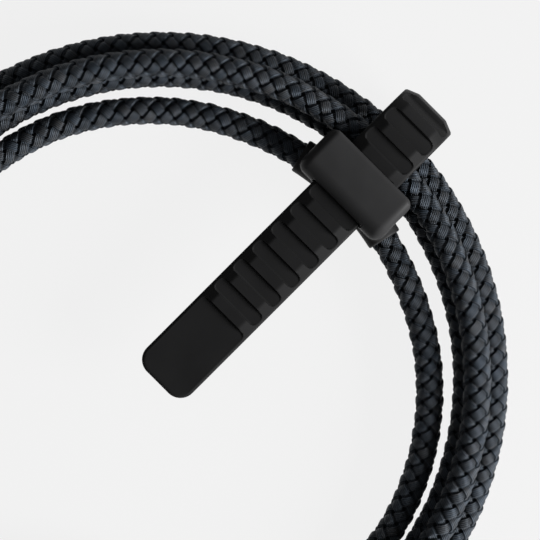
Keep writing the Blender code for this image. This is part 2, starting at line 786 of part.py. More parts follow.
def contact_outline(low, high):
    """A row of contacts joined by a bar near its rear, as (x, y) points."""
    bar_low = low + SOLDER_LAP
    bar_high = bar_low + CONTACT_BAR
    half = CONTACT_WIDTH / 2
    middles = [(i - (CONTACT_COUNT - 1) / 2) * CONTACT_PITCH for i in range(CONTACT_COUNT)]
    outline = []
    for y in middles:
        outline += [(bar_low, y - half), (low, y - half), (low, y + half), (bar_low, y + half)]
    for y in reversed(middles):
        outline += [(bar_high, y + half), (high, y + half), (high, y - half), (bar_high, y - half)]
    return outline


def latch_outline():
    """The latch spring between the contact rows: a U with its arms along the mouth's sides."""
    rear = BOARD_FRONT + PLUG_FIT
    bridge = rear + CONTACT_BAR
    front = MOUTH - 2 * SHELL_WALL
    half = LATCH_WIDTH / 2
    peak_y = half - 2 * LATCH_ARM
    bump_start, bump_peak, bump_end = (front - reach for reach in LATCH_BUMP)
    return [
        (rear, -half),
        (front, -half),
        (front, LATCH_ARM - half),
        (bump_start, LATCH_ARM - half),
        (bump_peak, -peak_y),
        (bump_end, LATCH_ARM - half),
        (bridge, LATCH_ARM - half),
        (bridge, half - LATCH_ARM),
        (bump_end, half - LATCH_ARM),
        (bump_peak, peak_y),
        (bump_start, half - LATCH_ARM),
        (front, half - LATCH_ARM),
        (front, half),
        (rear, half),
    ]


def can_outline(side):
    """Half of the shield can, open towards the board, as (y, z) points."""
    half, high, gap = CAN_WIDTH / 2, CAN_HEIGHT / 2, PLUG_FIT / 2
    inner = half - CAN_WALL
    outline = [
        (-half, gap),
        (-half, high),
        (half, high),
        (half, gap),
        (inner, gap),
        (inner, high - CAN_WALL),
        (-inner, high - CAN_WALL),
        (-inner, gap),
    ]
    return [(y, side * z) for y, z in outline]


def make_wires(prefix, plug, cable, materials):
    """Five wires from the cord's end to pads on the board, three above it and two below."""
    start = CORD_END + GAP
    pad = BOARD_REAR + WIRE_LAP
    lie = BOARD_THICKNESS / 2 + WIRE_DIAMETER / 2 + SOLDER_GAP
    places = (
        ("power_wire", -1.0, 1),
        ("channel_wire", 0.0, 1),
        ("ground_wire", 1.0, 1),
        ("data_plus_wire", -0.6, -1),
        ("data_minus_wire", 0.6, -1),
    )
    for name, across, side in places:
        y = across * WIRE_SPACING
        high = side * WIRE_RISE * WIRE_DIAMETER
        points = []
        for step in range(WIRE_STEPS + 1):
            share = step / WIRE_STEPS
            x = start + (pad - start) * share
            points.append(Vector((x, y, high + (side * lie - high) * ease(WIRE_FALL * share))))
        tube(prefix + name, points, WIRE_DIAMETER / 2, cable, materials[name], plug, resolution=1)


def make_plug(prefix, place, cable, tools, materials):
    plug = bpy.data.objects.new(prefix + "place", None)
    cable.objects.link(plug)
    plug.location = plug_point(place, 0.0)
    plug.rotation_euler = (0.0, 0.0, math.radians(place["heading"]))

    relief = turned(
        prefix + "strain_relief", relief_profile(), 20, cable, materials["rubber"], plug
    )
    along_plug(relief)
    make_cover(prefix, plug, cable, tools, materials["cover"])

    inner_width, inner_height = SHELL_WIDTH - 2 * SHELL_WALL, SHELL_HEIGHT - 2 * SHELL_WALL
    shell = flat_outline(
        prefix + "shell",
        [stadium(SHELL_WIDTH, SHELL_HEIGHT), stadium(inner_width, inner_height)],
        SHELL_LENGTH,
        cable,
        materials["steel"],
        plug,
    )
    across_plug(shell, SHELL_REAR, MOUTH)

    tongue_width, tongue_height = TONGUE_SPACE
    slot = [
        (-tongue_width / 2, -tongue_height / 2),
        (tongue_width / 2, -tongue_height / 2),
        (tongue_width / 2, tongue_height / 2),
        (-tongue_width / 2, tongue_height / 2),
    ]
    insulator = flat_outline(
        prefix + "insulator",
        [stadium(inner_width - 2 * PLUG_FIT, inner_height - 2 * PLUG_FIT, 4), slot],
        SHELL_LENGTH - 2 * SHELL_WALL,
        cable,
        materials["plastic"],
        plug,
    )
    across_plug(insulator, SHELL_REAR + SHELL_WALL, MOUTH - SHELL_WALL)

    contacts_rear = BOARD_FRONT - SOLDER_LAP + PLUG_FIT
    for name, side in (("upper_contacts", 1), ("lower_contacts", -1)):
        row = flat_outline(
            prefix + name,
            [contact_outline(contacts_rear, MOUTH - 4 * SHELL_WALL)],
            CONTACT_THICKNESS,
            cable,
            materials["gold"],
            plug,
        )
        row.location = (0.0, 0.0, side * CONTACT_HEIGHT)
    flat_outline(
        prefix + "latch_spring", [latch_outline()], LATCH_THICKNESS, cable, materials["steel"], plug
    )

    block(
        prefix + "circuit_board",
        (BOARD_REAR, -BOARD_WIDTH / 2, -BOARD_THICKNESS / 2),
        (BOARD_FRONT, BOARD_WIDTH / 2, BOARD_THICKNESS / 2),
        cable,
        materials["board"],
        plug,
    )
    chip_base = BOARD_THICKNESS / 2 + SOLDER_GAP
    chip_x = BOARD_REAR + BOARD_LENGTH / 2
    block(
        prefix + "marker_chip",
        (chip_x - CHIP_SIZE / 2, -CHIP_SIZE / 2, chip_base),
        (chip_x + CHIP_SIZE / 2, CHIP_SIZE / 2, chip_base + CHIP_HEIGHT),
        cable,
        materials["chip"],
        plug,
    )
    for name, side in (("shield_can_top", 1), ("shield_can_bottom", -1)):
        can = flat_outline(
            prefix + name, [can_outline(side)], BOARD_LENGTH, cable, materials["steel"], plug
        )
        across_plug(can, BOARD_REAR, BOARD_FRONT)

    crimp_inner = CORD_RADIUS + PLUG_FIT
    crimp_outer = crimp_inner + CRIMP_WALL
    low, high = CORD_END - CRIMP_LENGTH, CORD_END
    crimp = turned(
        prefix + "crimp_collar",
        [(crimp_outer, high), (crimp_outer, low), (crimp_inner, low), (crimp_inner, high)],
        24,
        cable,
        materials["steel"],
        plug,
    )
    along_plug(crimp)
    make_wires(prefix, plug, cable, materials)


# ---------------------------------------------------------------------------
# The whole cable
# ---------------------------------------------------------------------------


def make_materials():
    return {
        "braid": new_material("braid", (0.030, 0.036, 0.045), 0.75),
        "silicone": new_material("silicone", (0.014, 0.014, 0.014), 0.55),
        "rubber": new_material("relief_rubber", (0.012, 0.012, 0.013), 0.6),
        "cover": new_material("cover_plastic", (0.016, 0.016, 0.018), 0.45),
        "steel": new_material("nickel_steel", (0.60, 0.60, 0.61), 0.3, 1.0),
        "plastic": new_material("insulator_plastic", (0.02, 0.02, 0.02), 0.5),
        "gold": new_material("gold_plate", (0.85, 0.62, 0.27), 0.25, 1.0),
        "board": new_material("circuit_board", (0.02, 0.10, 0.05), 0.5),
        "chip": new_material("chip", (0.02, 0.02, 0.02), 0.4),
        "power_wire": new_material("red_wire", (0.50, 0.02, 0.02), 0.5),
        "channel_wire": new_material("blue_wire", (0.02, 0.08, 0.45), 0.5),
        "ground_wire": new_material("black_wire", (0.02, 0.02, 0.02), 0.5),
        "data_plus_wire": new_material("green_wire", (0.03, 0.30, 0.06), 0.5),
        "data_minus_wire": new_material("white_wire", (0.75, 0.75, 0.75), 0.5),
    }


def main():
    clear_scene()
    cable = new_collection("charging_cable")
    tools = new_collection("cutting_tools")
    materials = make_materials()
    make_cord(cable, materials["braid"])
    make_tie(cable, tools, materials["silicone"])
    make_plug("inner_plug_", INNER_PLUG, cable, tools, materials)
    make_plug("outer_plug_", OUTER_PLUG, cable, tools, materials)


main()
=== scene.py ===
"""The finished look of a coiled charging cable: its braid, its silicone tie and its two plugs.

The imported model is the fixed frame. The pieces here stand in its places, in metres, with +Z up, +X
along the strap away from the coil's centre, and the ground at zero.
"""

import math
from functools import partialmethod

import bmesh
import bpy
import numpy as np
from bpy.props import FloatProperty, FloatVectorProperty, IntProperty, PointerProperty
from mathutils import Matrix, Vector


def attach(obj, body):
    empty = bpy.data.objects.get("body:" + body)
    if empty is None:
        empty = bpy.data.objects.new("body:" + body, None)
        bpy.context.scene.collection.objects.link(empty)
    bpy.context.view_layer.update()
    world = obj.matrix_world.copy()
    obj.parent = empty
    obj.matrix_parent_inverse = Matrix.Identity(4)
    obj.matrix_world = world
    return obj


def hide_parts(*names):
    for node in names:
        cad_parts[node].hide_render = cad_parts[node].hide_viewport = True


bl_info = {
    "name": "Coiled Charging Cable",
    "version": (1, 0, 0),
    "blender": (4, 5, 0),
    "location": "View3D > Sidebar > Charging Cable",
    "description": "Braided charging cable with two plugs, coiled and held by a silicone tie",
    "category": "Add Mesh",
}

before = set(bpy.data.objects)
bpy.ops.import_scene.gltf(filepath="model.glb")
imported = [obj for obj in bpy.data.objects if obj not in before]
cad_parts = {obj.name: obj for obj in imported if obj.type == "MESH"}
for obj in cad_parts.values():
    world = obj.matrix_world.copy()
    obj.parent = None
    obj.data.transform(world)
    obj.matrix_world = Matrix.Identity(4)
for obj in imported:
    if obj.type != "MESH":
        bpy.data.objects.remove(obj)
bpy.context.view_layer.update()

GAP = 0.0003  # clearance between pieces that touch
HAIR = 1e-6  # keeps a corner's radius just under half a height
TOOL_REACH = 0.003  # how far a cutting tool passes what it cuts

# Places along the cord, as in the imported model. Angles run round the coil's centre from the tie, in
# degrees, and go on past 360 from turn to turn.
COIL_CENTRE_X = -0.05855
INNER_STRAND = 0.0560  # radius of the bundle's inner strand
STRAND_SQUEEZE = 0.0001
TOP_STRAND_LEAN = 0.0016
LONE_STRAND = 0.04825
LONE_STRAND_DRIFT = 0.0061
LONE_STRAND_SINK = 1.6
LEVEL_ANGLE = 14.0
EASED_ANGLE = 40.0
BUNDLE_LIFT = 0.0028  # how far the strap lifts the bundle at the tie
BORE_HEIGHT = 0.0065  # of the lone strand in the keeper
COIL_START = -81.0
COIL_END = 1266.0
TO_INNER_STRAND = (150.0, 190.0)  # where the cord passes from the lone strand to the bundle
TO_OUTER_STRAND = (484.0, 524.0)
TO_TOP_STRAND = (820.0, 860.0)
TO_TAIL = (1152.0, 1196.0)
COIL_STEP = 5.0
INNER_LEAD = (  # from the inner plug to the lone strand, as angle, radius and height
    (245.6, 0.04471, 0.0037),
    (254.6, 0.04709, 0.0037),
    (263.0, 0.04892, 0.0038),
    (271.0, 0.05006, 0.0040),
)
OUTER_LEAD = ((190.0, 0.06670, 0.0029), (196.0, 0.06710, 0.0035))
INNER_PLUG = {"prefix": "inner_plug_", "angle": 235.51, "radius": 0.04199, "heading": 126.0}
OUTER_PLUG = {"prefix": "outer_plug_", "angle": 204.0, "radius": 0.0679, "heading": 286.0}
PLUGS = (INNER_PLUG, OUTER_PLUG)

# Braid: eight flat tapes, four each way
TAPES_EACH_WAY = 4
FALLING_TAPES = 40.5  # added to a falling tape's number, to tell it from the rising ones
LATTICE = 10  # mesh cells from tape to tape
BRAID_TURN = 6.0  # degrees from the cord's top to a row of patches
CENTRE_STEP = 0.0010  # between the points of the cord's finest line
LINE_SMOOTHING = 4  # of those points to each side
CROWN_POWER = 7.0  # how flat a tape is across its middle
CREST_POWER = 0.75  # how flat it is along its crests and hollows, where 1 is a cosine
EDGE_STEP = 0.010  # half the width of the step at a tape's edge, as a share of the room it has
UNEVEN = 0.00003  # how far a patch may stand above or below the others
UNEVEN_REPEAT = 97  # patches along the cord before that comes round again
UNEVEN_SEED = 5
TAPE_ANGLE = math.radians(53.0)  # between a tape and the cord's own line
FIBRES_ACROSS = 30.0  # how fine the fibre is across a tape
FIBRES_ALONG = 3.2  # and along it

# Strap, with places from the coil's centre
ANCHOR_X = 0.0466
ANCHOR_LENGTH = 0.0028
ANCHOR_WIDTH = 0.0150
TAIL_REACH = 0.0004
TAIL_DROOP = 0.0015
LOOP_X = 0.06228
STRAP_TOP = 0.01314
SLOT_HEIGHT = 0.0111
RAMP_TOP_X = 0.05838
RAMP_FOOT_X = 0.04825
STRAP_STEP = 0.00013  # between the rings of the strap's mesh
STRAP_ROUNDING = 0.00025  # of its lower edges
EDGE_ROUNDING = 0.00035  # how far in from its edge the strap's top begins to fall
EDGE_DROP = 0.00018  # and how far it has fallen at the edge
RIB_ROUNDING = 0.00012
GROOVE_WALL = 0.00018  # how wide a groove's wall is, seen from above
GROOVE_MARGIN = 0.0005  # from a groove's end to the strap's edge
GROOVE_CORNER = 0.0010

# Keeper, with places from the coil's centre
KEEPER_INNER_X = 0.0450
KEEPER_OUTER_X = 0.0548
KEEPER_LENGTH = 0.0201
KEEPER_ROOF = 0.0011  # its thickness over the strap
KEEPER_CORNERS = (0.0005, 0.0005, 0.0008, 0.0030)  # radii, from the lower inner corner round
KEEPER_END_ROUNDING = 0.0017
KEEPER_TOP_SHARES = np.linspace(0.12, 0.66, 16)  # where the top has points, from its outer corner
KEEPER_CREST_X = 0.0515  # where the keeper's crowned top is highest
KEEPER_CROWN_RADIUS = 0.0190
KEEPER_END_DROP = 0.0004  # how far the crown falls from its middle to its ends
KEEPER_CELL = 0.00014  # of the mesh that is rebuilt to round its edges
KEEPER_PASSES = 5
COLLAR_WALL = 0.00035
COLLAR_REACH = 0.0110  # from the keeper's middle to each end of its collar
COLLAR_TRIM = 0.00025  # how far the collar narrows at its ends
COLLAR_TRIM_SHARE = 0.03  # of half its length

# Plug, from its cord's entry towards its mouth
CORD_END = 0.0164
CORD_LEAD = 0.0039  # how far the cord runs straight behind its entry
PLUG_AXIS = 0.0039  # height of a plug's axis
COVER_WALL = 0.0008
COVER_ROUNDING = 0.0007  # of its two ends
MOUTH_FIT = 0.00015  # room round the shell
SHELL_WALL = 0.0003
RELIEF_REAR_RADIUS = 0.0033
RELIEF_FRONT_RADIUS = 0.0037
RELIEF_GROOVES = 4
RELIEF_GROOVE_DEPTH = 0.00025
RELIEF_GROOVE_PLACE = 0.16  # of a groove's middle, as a share of the way from groove to groove
RELIEF_GROOVE_HALF = 0.14  # half its width, as such a share
RELIEF_LIP = 0.0003

# Stage
FLOOR_RADIUS = 1.2
FLOOR_RIM = 0.5  # radius of the floor's upturned rim
FLOOR_TOP = 0.9
FLOOR_DROP = 0.0001  # keeps the floor just below what stands on it
CAMERA_TURN = -45.0
KEY_PLACE = (0.190, -0.468, 0.230)  # from what the camera looks at
KEY_SIZE = (0.30, 0.22)


# --- Settings ---


def length_setting(name, description, default, low=0.0):
    return FloatProperty(name=name, description=description, default=default, min=low, unit="LENGTH",
                         precision=5)


def share_setting(name, description, default):
    return FloatProperty(name=name, description=description, default=default, min=0.0, max=1.0,
                         subtype="FACTOR")


def colour_setting(name, description, default):
    return FloatVectorProperty(name=name, description=description, default=default, size=3, min=0.0,
                               max=1.0, subtype="COLOR")


class CableCordSettings(bpy.types.PropertyGroup):
    """The cord and its braid."""

    diameter: length_setting("Diameter", "Outer diameter of the braided cord", 0.0052, 0.001)
    length: length_setting("Length", "Length of the cord between its ends inside the plugs", 1.44)
    repeat: length_setting("Repeat", "Distance along the cord between tapes that run one way", 0.00310)
    wave: length_setting("Wave", "How far a tape rises and dips as it passes over and under", 0.00040)
    crown: length_setting("Crown", "How far a tape's middle stands above its edges", 0.00013)
    tape_share: share_setting("Tape width", "Width of a tape, as a share of the room it has", 0.72)
    yarns: IntProperty(name="Yarns", description="Yarns side by side in a tape", default=5, min=1)
    yarn_colour: colour_setting("Yarn", "Colour of the yarn", (0.064, 0.084, 0.110))
    # The darkest colour is painted shade in the yarn furrows, at tape edges and where tapes dive, and also
    # the darkest random fibre tone
    shade_colour: colour_setting("Dark yarn", "Colour of the darkest yarn", (0.004, 0.005, 0.006))


class CableTieSettings(bpy.types.PropertyGroup):
    """The strap and its keeper."""

    width: length_setting("Width", "Width of the strap", 0.01165, 0.004)
    thickness: length_setting("Thickness", "Thickness of the strap at its ribs", 0.0025, 0.001)
    edge_height: length_setting("Edge", "Height of the strap's upright sides", 0.0015)
    facet_width: length_setting("Facet", "Width of the sloping facets at the ribs", 0.00243)
    rib_count: IntProperty(name="Ribs", description="Ribs across the strap", default=12, min=0)
    rib_pitch: length_setting("Rib pitch", "Distance from rib to rib", 0.00482)
    rib_width: length_setting("Rib width", "Width of each rib", 0.0020)
    rib_height: length_setting("Rib height", "Height of the ribs above the grooves", 0.0008)
    pad_length: length_setting("Pad", "Length of the plain pad at the tip", 0.0173)
    tip_radius: length_setting("Tip radius", "Radius of the tip's corners", 0.0031)
    strap_colour: colour_setting("Strap", "Colour of the strap", (0.0152, 0.0152, 0.0156))
    keeper_colour: colour_setting("Keeper", "Colour of the keeper", (0.034, 0.034, 0.0348))
    roughness: share_setting("Roughness", "Roughness of the silicone", 0.46)


class CablePlugSettings(bpy.types.PropertyGroup):
    """The covers, strain reliefs and shells of the plugs."""

    cover_length: length_setting("Cover length", "Length of a plug's cover", 0.0205)
    cover_width: length_setting("Cover width", "Width of a plug's cover", 0.0122)
    cover_height: length_setting("Cover height", "Height of a plug's cover", 0.0078)
    cover_edge: length_setting("Cover edge", "Radius of the cover's long edges", 0.0028)
    relief_length: length_setting("Relief length", "Length of a strain relief", 0.0125)
    shell_width: length_setting("Shell width", "Width of a plug's metal shell", 0.00825)
    shell_height: length_setting("Shell height", "Height of a plug's metal shell", 0.0024)
    shell_reach: length_setting("Shell reach", "How far the shell stands out of its cover", 0.00665)
    shell_length: length_setting("Shell length", "Whole length of the shell", 0.0131)
    cover_colour: colour_setting("Cover", "Colour of the covers", (0.015, 0.015, 0.017))
    relief_colour: colour_setting("Relief", "Colour of the strain reliefs", (0.012, 0.012, 0.013))
    metal_colour: colour_setting("Metal", "Colour of the nickel plate", (0.60, 0.60, 0.61))


class CableStageSettings(bpy.types.PropertyGroup):
    """The floor, the lights and the camera."""

    floor_colour: colour_setting("Floor", "Colour of the floor as the camera sees it", (0.888,) * 3)
    shadow_share: share_setting("Shadow", "How much of the floor's look comes from the lights", 0.04)
    bounce_colour: colour_setting("Bounce", "Colour of the floor's light on the cable", (0.05,) * 3)
    key_strength: FloatProperty(name="Key", description="Power of the key light", default=6.6,
                                min=0.0, unit="POWER")
    world_strength: FloatProperty(name="World", description="Strength of the world's light",
                                  default=0.12, min=0.0)
    camera_height: length_setting("Camera height", "Height of the camera over the floor", 0.4732)
    camera_x: FloatProperty(name="Camera place", description="Where along the strap's line the camera is",
                            default=-0.0303, unit="LENGTH")
    lens: FloatProperty(name="Lens", description="Focal length in millimetres", default=170.4, min=1.0)


# --- Meshes ---


def polar(angle, radius, height):
    """A point at that angle and radius about the coil's centre."""
    turn = math.radians(angle)
    return (COIL_CENTRE_X + radius * math.cos(turn), radius * math.sin(turn), height)


def arc(start, stop, steps):
    """Angles in radians from start to stop, which are given in degrees and both included."""
    return [math.radians(start + (stop - start) * step / steps) for step in range(steps + 1)]


def ease(share):
    """0 to 1 with level ends."""
    share = np.clip(share, 0.0, 1.0)
    return share * share * (3 - 2 * share)


def gentle(share):
    """0 to 1 with level and straight ends."""
    share = min(max(share, 0.0), 1.0)
    return share**3 * (share * (6 * share - 15) + 10)


def smooth_least(first, second, softness):
    """The smaller of the two, with the corner where they cross rounded."""
    overlap = np.clip(softness - np.abs(first - second), 0.0, None) / softness
    return np.minimum(first, second) - overlap**2 * softness / 4


def new_object(name, data):
    item = bpy.data.objects.new(name, data)
    bpy.context.scene.collection.objects.link(item)
    return item


def add_piece(name, mesh, material, body):
    """A visible piece that rides on a body and takes its finish from a slot."""
    piece = new_object(name, mesh)
    mesh.materials.append(material)
    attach(piece, body)
    return piece


def mesh_of(name, points, quads):
    """A smooth mesh from arrays of points and of four-cornered faces."""
    mesh = bpy.data.meshes.new(name)
    mesh.vertices.add(len(points))
    mesh.vertices.foreach_set("co", np.asarray(points, np.float32).ravel())
    mesh.loops.add(4 * len(quads))
    mesh.loops.foreach_set("vertex_index", np.asarray(quads, np.int32).ravel())
    mesh.polygons.add(len(quads))
    mesh.polygons.foreach_set("loop_start", 4 * np.arange(len(quads), dtype=np.int32))
    mesh.update(calc_edges=True)
    mesh.shade_smooth()
    return mesh


def loft(name, loops, ends=(0, -1)):
    """A mesh through loops of as many points each, filled at those ends. With none, it is a ring."""
    loops = np.asarray(loops)
    rings, count = loops.shape[:2]
    numbers = np.arange(rings * count).reshape(rings, count)
    after = np.roll(numbers, -1, axis=0)
    corners = (numbers, np.roll(numbers, -1, axis=1), np.roll(after, -1, axis=1), after)
    joints = rings - 1 if ends else rings
    quads = np.stack(corners, axis=-1)[:joints]
    mesh = mesh_of(name, loops.reshape(-1, 3), quads.reshape(-1, 4))
    bm = bmesh.new()
    bm.from_mesh(mesh)
    bm.verts.ensure_lookup_table()
    for end in ends:
        bm.faces.new([bm.verts[number] for number in numbers[end].tolist()])
    bmesh.ops.recalc_face_normals(bm, faces=bm.faces)
    bm.to_mesh(mesh)
    bm.free()
    return mesh


def block(name, low, high):
    """A box between two corners."""
    (left, front, foot), (right, back, top) = low, high
    outline = ((front, foot), (back, foot), (back, top), (front, top))
    return loft(name, [[(x, y, z) for y, z in outline] for x in (left, right)])


def round_section(angle, radius, height, tube_radius, count):
    """A circle of points across the cord's way, at an angle and radius about the coil's centre."""
    return [polar(angle, radius + tube_radius * math.cos(turn), height + tube_radius * math.sin(turn))
            for turn in arc(0, 360, count)[:-1]]


def torus(name, radius, height, tube_radius, sections=220):
    """A full ring about the coil's axis."""
    angles = [360 * section / sections for section in range(sections)]
    loops = [round_section(angle, radius, height, tube_radius, 40) for angle in angles]
    return loft(name, loops, ends=())


def creased(mesh, degrees):
    """The mesh with smooth faces, and a sharp edge wherever it turns by more than that."""
    mesh.shade_smooth()
    mesh.set_sharp_from_angle(angle=math.radians(degrees))
    return mesh


def finished_mesh(item, tools=()):
    """The object's evaluated mesh. The object and its cutting tools are removed."""
    bpy.context.view_layer.update()
    evaluated = item.evaluated_get(bpy.context.evaluated_depsgraph_get())
    mesh = bpy.data.meshes.new_from_object(evaluated)
    for used in (item, *tools):
        bpy.data.objects.remove(used, do_unlink=True)
    return mesh


def combined(mesh, steps):
    """The mesh joined to or cut by others, in order."""
    item = new_object(mesh.name, mesh)
    tools = []
    for operation, shape in steps:
        tool = new_object(shape.name, shape)
        tool.hide_render = True
        modifier = item.modifiers.new(tool.name, "BOOLEAN")
        modifier.operation = operation
        modifier.solver = "EXACT"
        modifier.object = tool
        tools.append(tool)
    return finished_mesh(item, tools)


def softened(mesh, cell, passes):
    """The mesh rebuilt in small cells and relaxed, so that every edge is as round as a moulding's."""
    item = new_object(mesh.name, mesh)
    remesh = item.modifiers.new("cells", "REMESH")
    remesh.mode = "VOXEL"
    remesh.voxel_size = cell
    remesh.adaptivity = 0.0
    smooth = item.modifiers.new("relax", "SMOOTH")
    smooth.factor = 0.5
    smooth.iterations = passes
    result = finished_mesh(item)
    result.shade_smooth()
    return result


# --- Materials ---


class Output:
    """A node's output. Arithmetic with it adds Math nodes."""

    def __init__(self, nodes, socket):
        self.nodes = nodes
        self.socket = socket

    def beside(self, name):
        """Another output of the same node."""
        return Output(self.nodes, self.socket.node.outputs[name])

    def math(self, operation, *others):
        return self.nodes.add("Math", (self, *others), operation=operation)

    def __rsub__(self, other):
        return self.nodes.add("Math", (other, self), operation="SUBTRACT")

    __add__ = partialmethod(math, "ADD")
    __sub__ = partialmethod(math, "SUBTRACT")
    __mul__ = partialmethod(math, "MULTIPLY")
    __pow__ = partialmethod(math, "POWER")
    __abs__ = partialmethod(math, "ABSOLUTE")
    __gt__ = partialmethod(math, "GREATER_THAN")


class Nodes:
    """The nodes of a new material."""

    def __init__(self, name):
        self.material = bpy.data.materials.new(name)
        self.material.use_nodes = True
        self.tree = self.material.node_tree

    def feed(self, value, socket):
        """Puts a number, a colour or another node's output into a socket."""
        if isinstance(value, Output):
            self.tree.links.new(value.socket, socket)
        elif isinstance(value, (int, float)):
            socket.default_value = value
        else:
            socket.default_value = (*value, 1.0)

    def add(self, kind, values=(), output=0, **options):
        """A new node's output. Its sockets are fed in order, or by number or name."""
        node = self.tree.nodes.new("ShaderNode" + kind)
        for option, choice in options.items():
            setattr(node, option, choice)
        pairs = values.items() if isinstance(values, dict) else enumerate(values)
        for key, value in pairs:
            self.feed(value, node.inputs[key])
        return Output(self, node.outputs[output])

    def spread(self, value, low, high, to_low, to_high, smooth=False):
        """The value moved from one range to another."""
        kind = "SMOOTHSTEP" if smooth else "LINEAR"
        return self.add("MapRange", (value, low, high, to_low, to_high), interpolation_type=kind)

    def blend(self, share, first, second):
        """A mix of two colours."""
        return self.add("Mix", {0: share, 6: first, 7: second}, 2, data_type="RGBA")

    def choose(self, share, first, second):
        """A mix of two numbers."""
        return self.add("Mix", {0: share, 2: first, 3: second}, data_type="FLOAT")

    def vector(self, x, y, z=0.0):
        return self.add("CombineXYZ", (x, y, z))

    def vector_math(self, operation, first, second):
        return self.add("VectorMath", (first, second), operation=operation)

    def scaled(self, way, share):
        return self.add("VectorMath", {0: way, "Scale": share}, operation="SCALE")

    def attribute(self, name):
        """What the mesh carries under that name."""
        return self.add("Attribute", output="Vector", attribute_name=name)

    def place(self):
        """Where on the object a point is."""
        return self.add("TexCoord", output="Object")

    def noise(self, place, scale, detail=2.0):
        return self.add("TexNoise", {"Vector": place, "Scale": scale, "Detail": detail}, "Fac")

    def bump(self, height, distance):
        return self.add("Bump", {"Height": height, "Distance": distance})


class Finish(Nodes):
    """A procedural surface, built from its shader back."""

    def __init__(self, name, colour, roughness, metallic=0.0):
        super().__init__(name)
        self.shader = self.tree.nodes["Principled BSDF"]
        self.put("Base Color", colour)
        self.put("Roughness", roughness)
        self.put("Metallic", metallic)
        self.material.diffuse_color = (*colour, 1.0)

    def put(self, socket, value):
        self.feed(value, self.shader.inputs[socket])


def tinted(colour, share):
    return tuple(share * part for part in colour)


def moulded_finish(name, colour, roughness, grain=9000.0, depth=0.000006, specular=0.5):
    """Silicone, rubber or plastic with the fine grain of its mould and a little unevenness."""
    finish = Finish(name, colour, roughness)
    place = finish.place()
    fine = finish.noise(place, grain, 3.0)
    broad = finish.noise(place, grain / 60)
    finish.put("Base Color", finish.blend(broad, tinted(colour, 0.82), tinted(colour, 1.15)))
    finish.put("Roughness", finish.spread(broad, 0.3, 0.7, roughness - 0.04, roughness + 0.04))
    finish.put("Normal", finish.bump(fine, depth))
    finish.put("Specular IOR Level", specular)
    return finish.material


def metal_finish(name, colour, roughness, brush=2600.0):
    """Plated metal with faint drawing marks."""
    finish = Finish(name, colour, roughness, metallic=1.0)
    place = finish.place()
    marks = finish.noise(place, brush, 4.0)
    broad = finish.noise(place, brush / 12)
    finish.put("Base Color", finish.blend(broad, tinted(colour, 0.85), colour))
    finish.put("Roughness", finish.spread(marks, 0.3, 0.7, roughness - 0.06, roughness + 0.08))
    finish.put("Normal", finish.bump(marks, 0.000003))
    return finish.material


def board_finish():
    """Green solder mask over faint copper tracks."""
    finish = Finish("circuit_board", (0.02, 0.10, 0.05), 0.4)
    wave = finish.add("TexWave", {"Vector": finish.place(), "Scale": 700.0, "Distortion": 3.0}, "Fac")
    track = finish.spread(wave, 0.45, 0.6, 0.0, 1.0, smooth=True)
    finish.put("Base Color", finish.blend(track, (0.012, 0.07, 0.035), (0.03, 0.14, 0.07)))
    finish.put("Normal", finish.bump(track, 0.00002))
    return finish.material


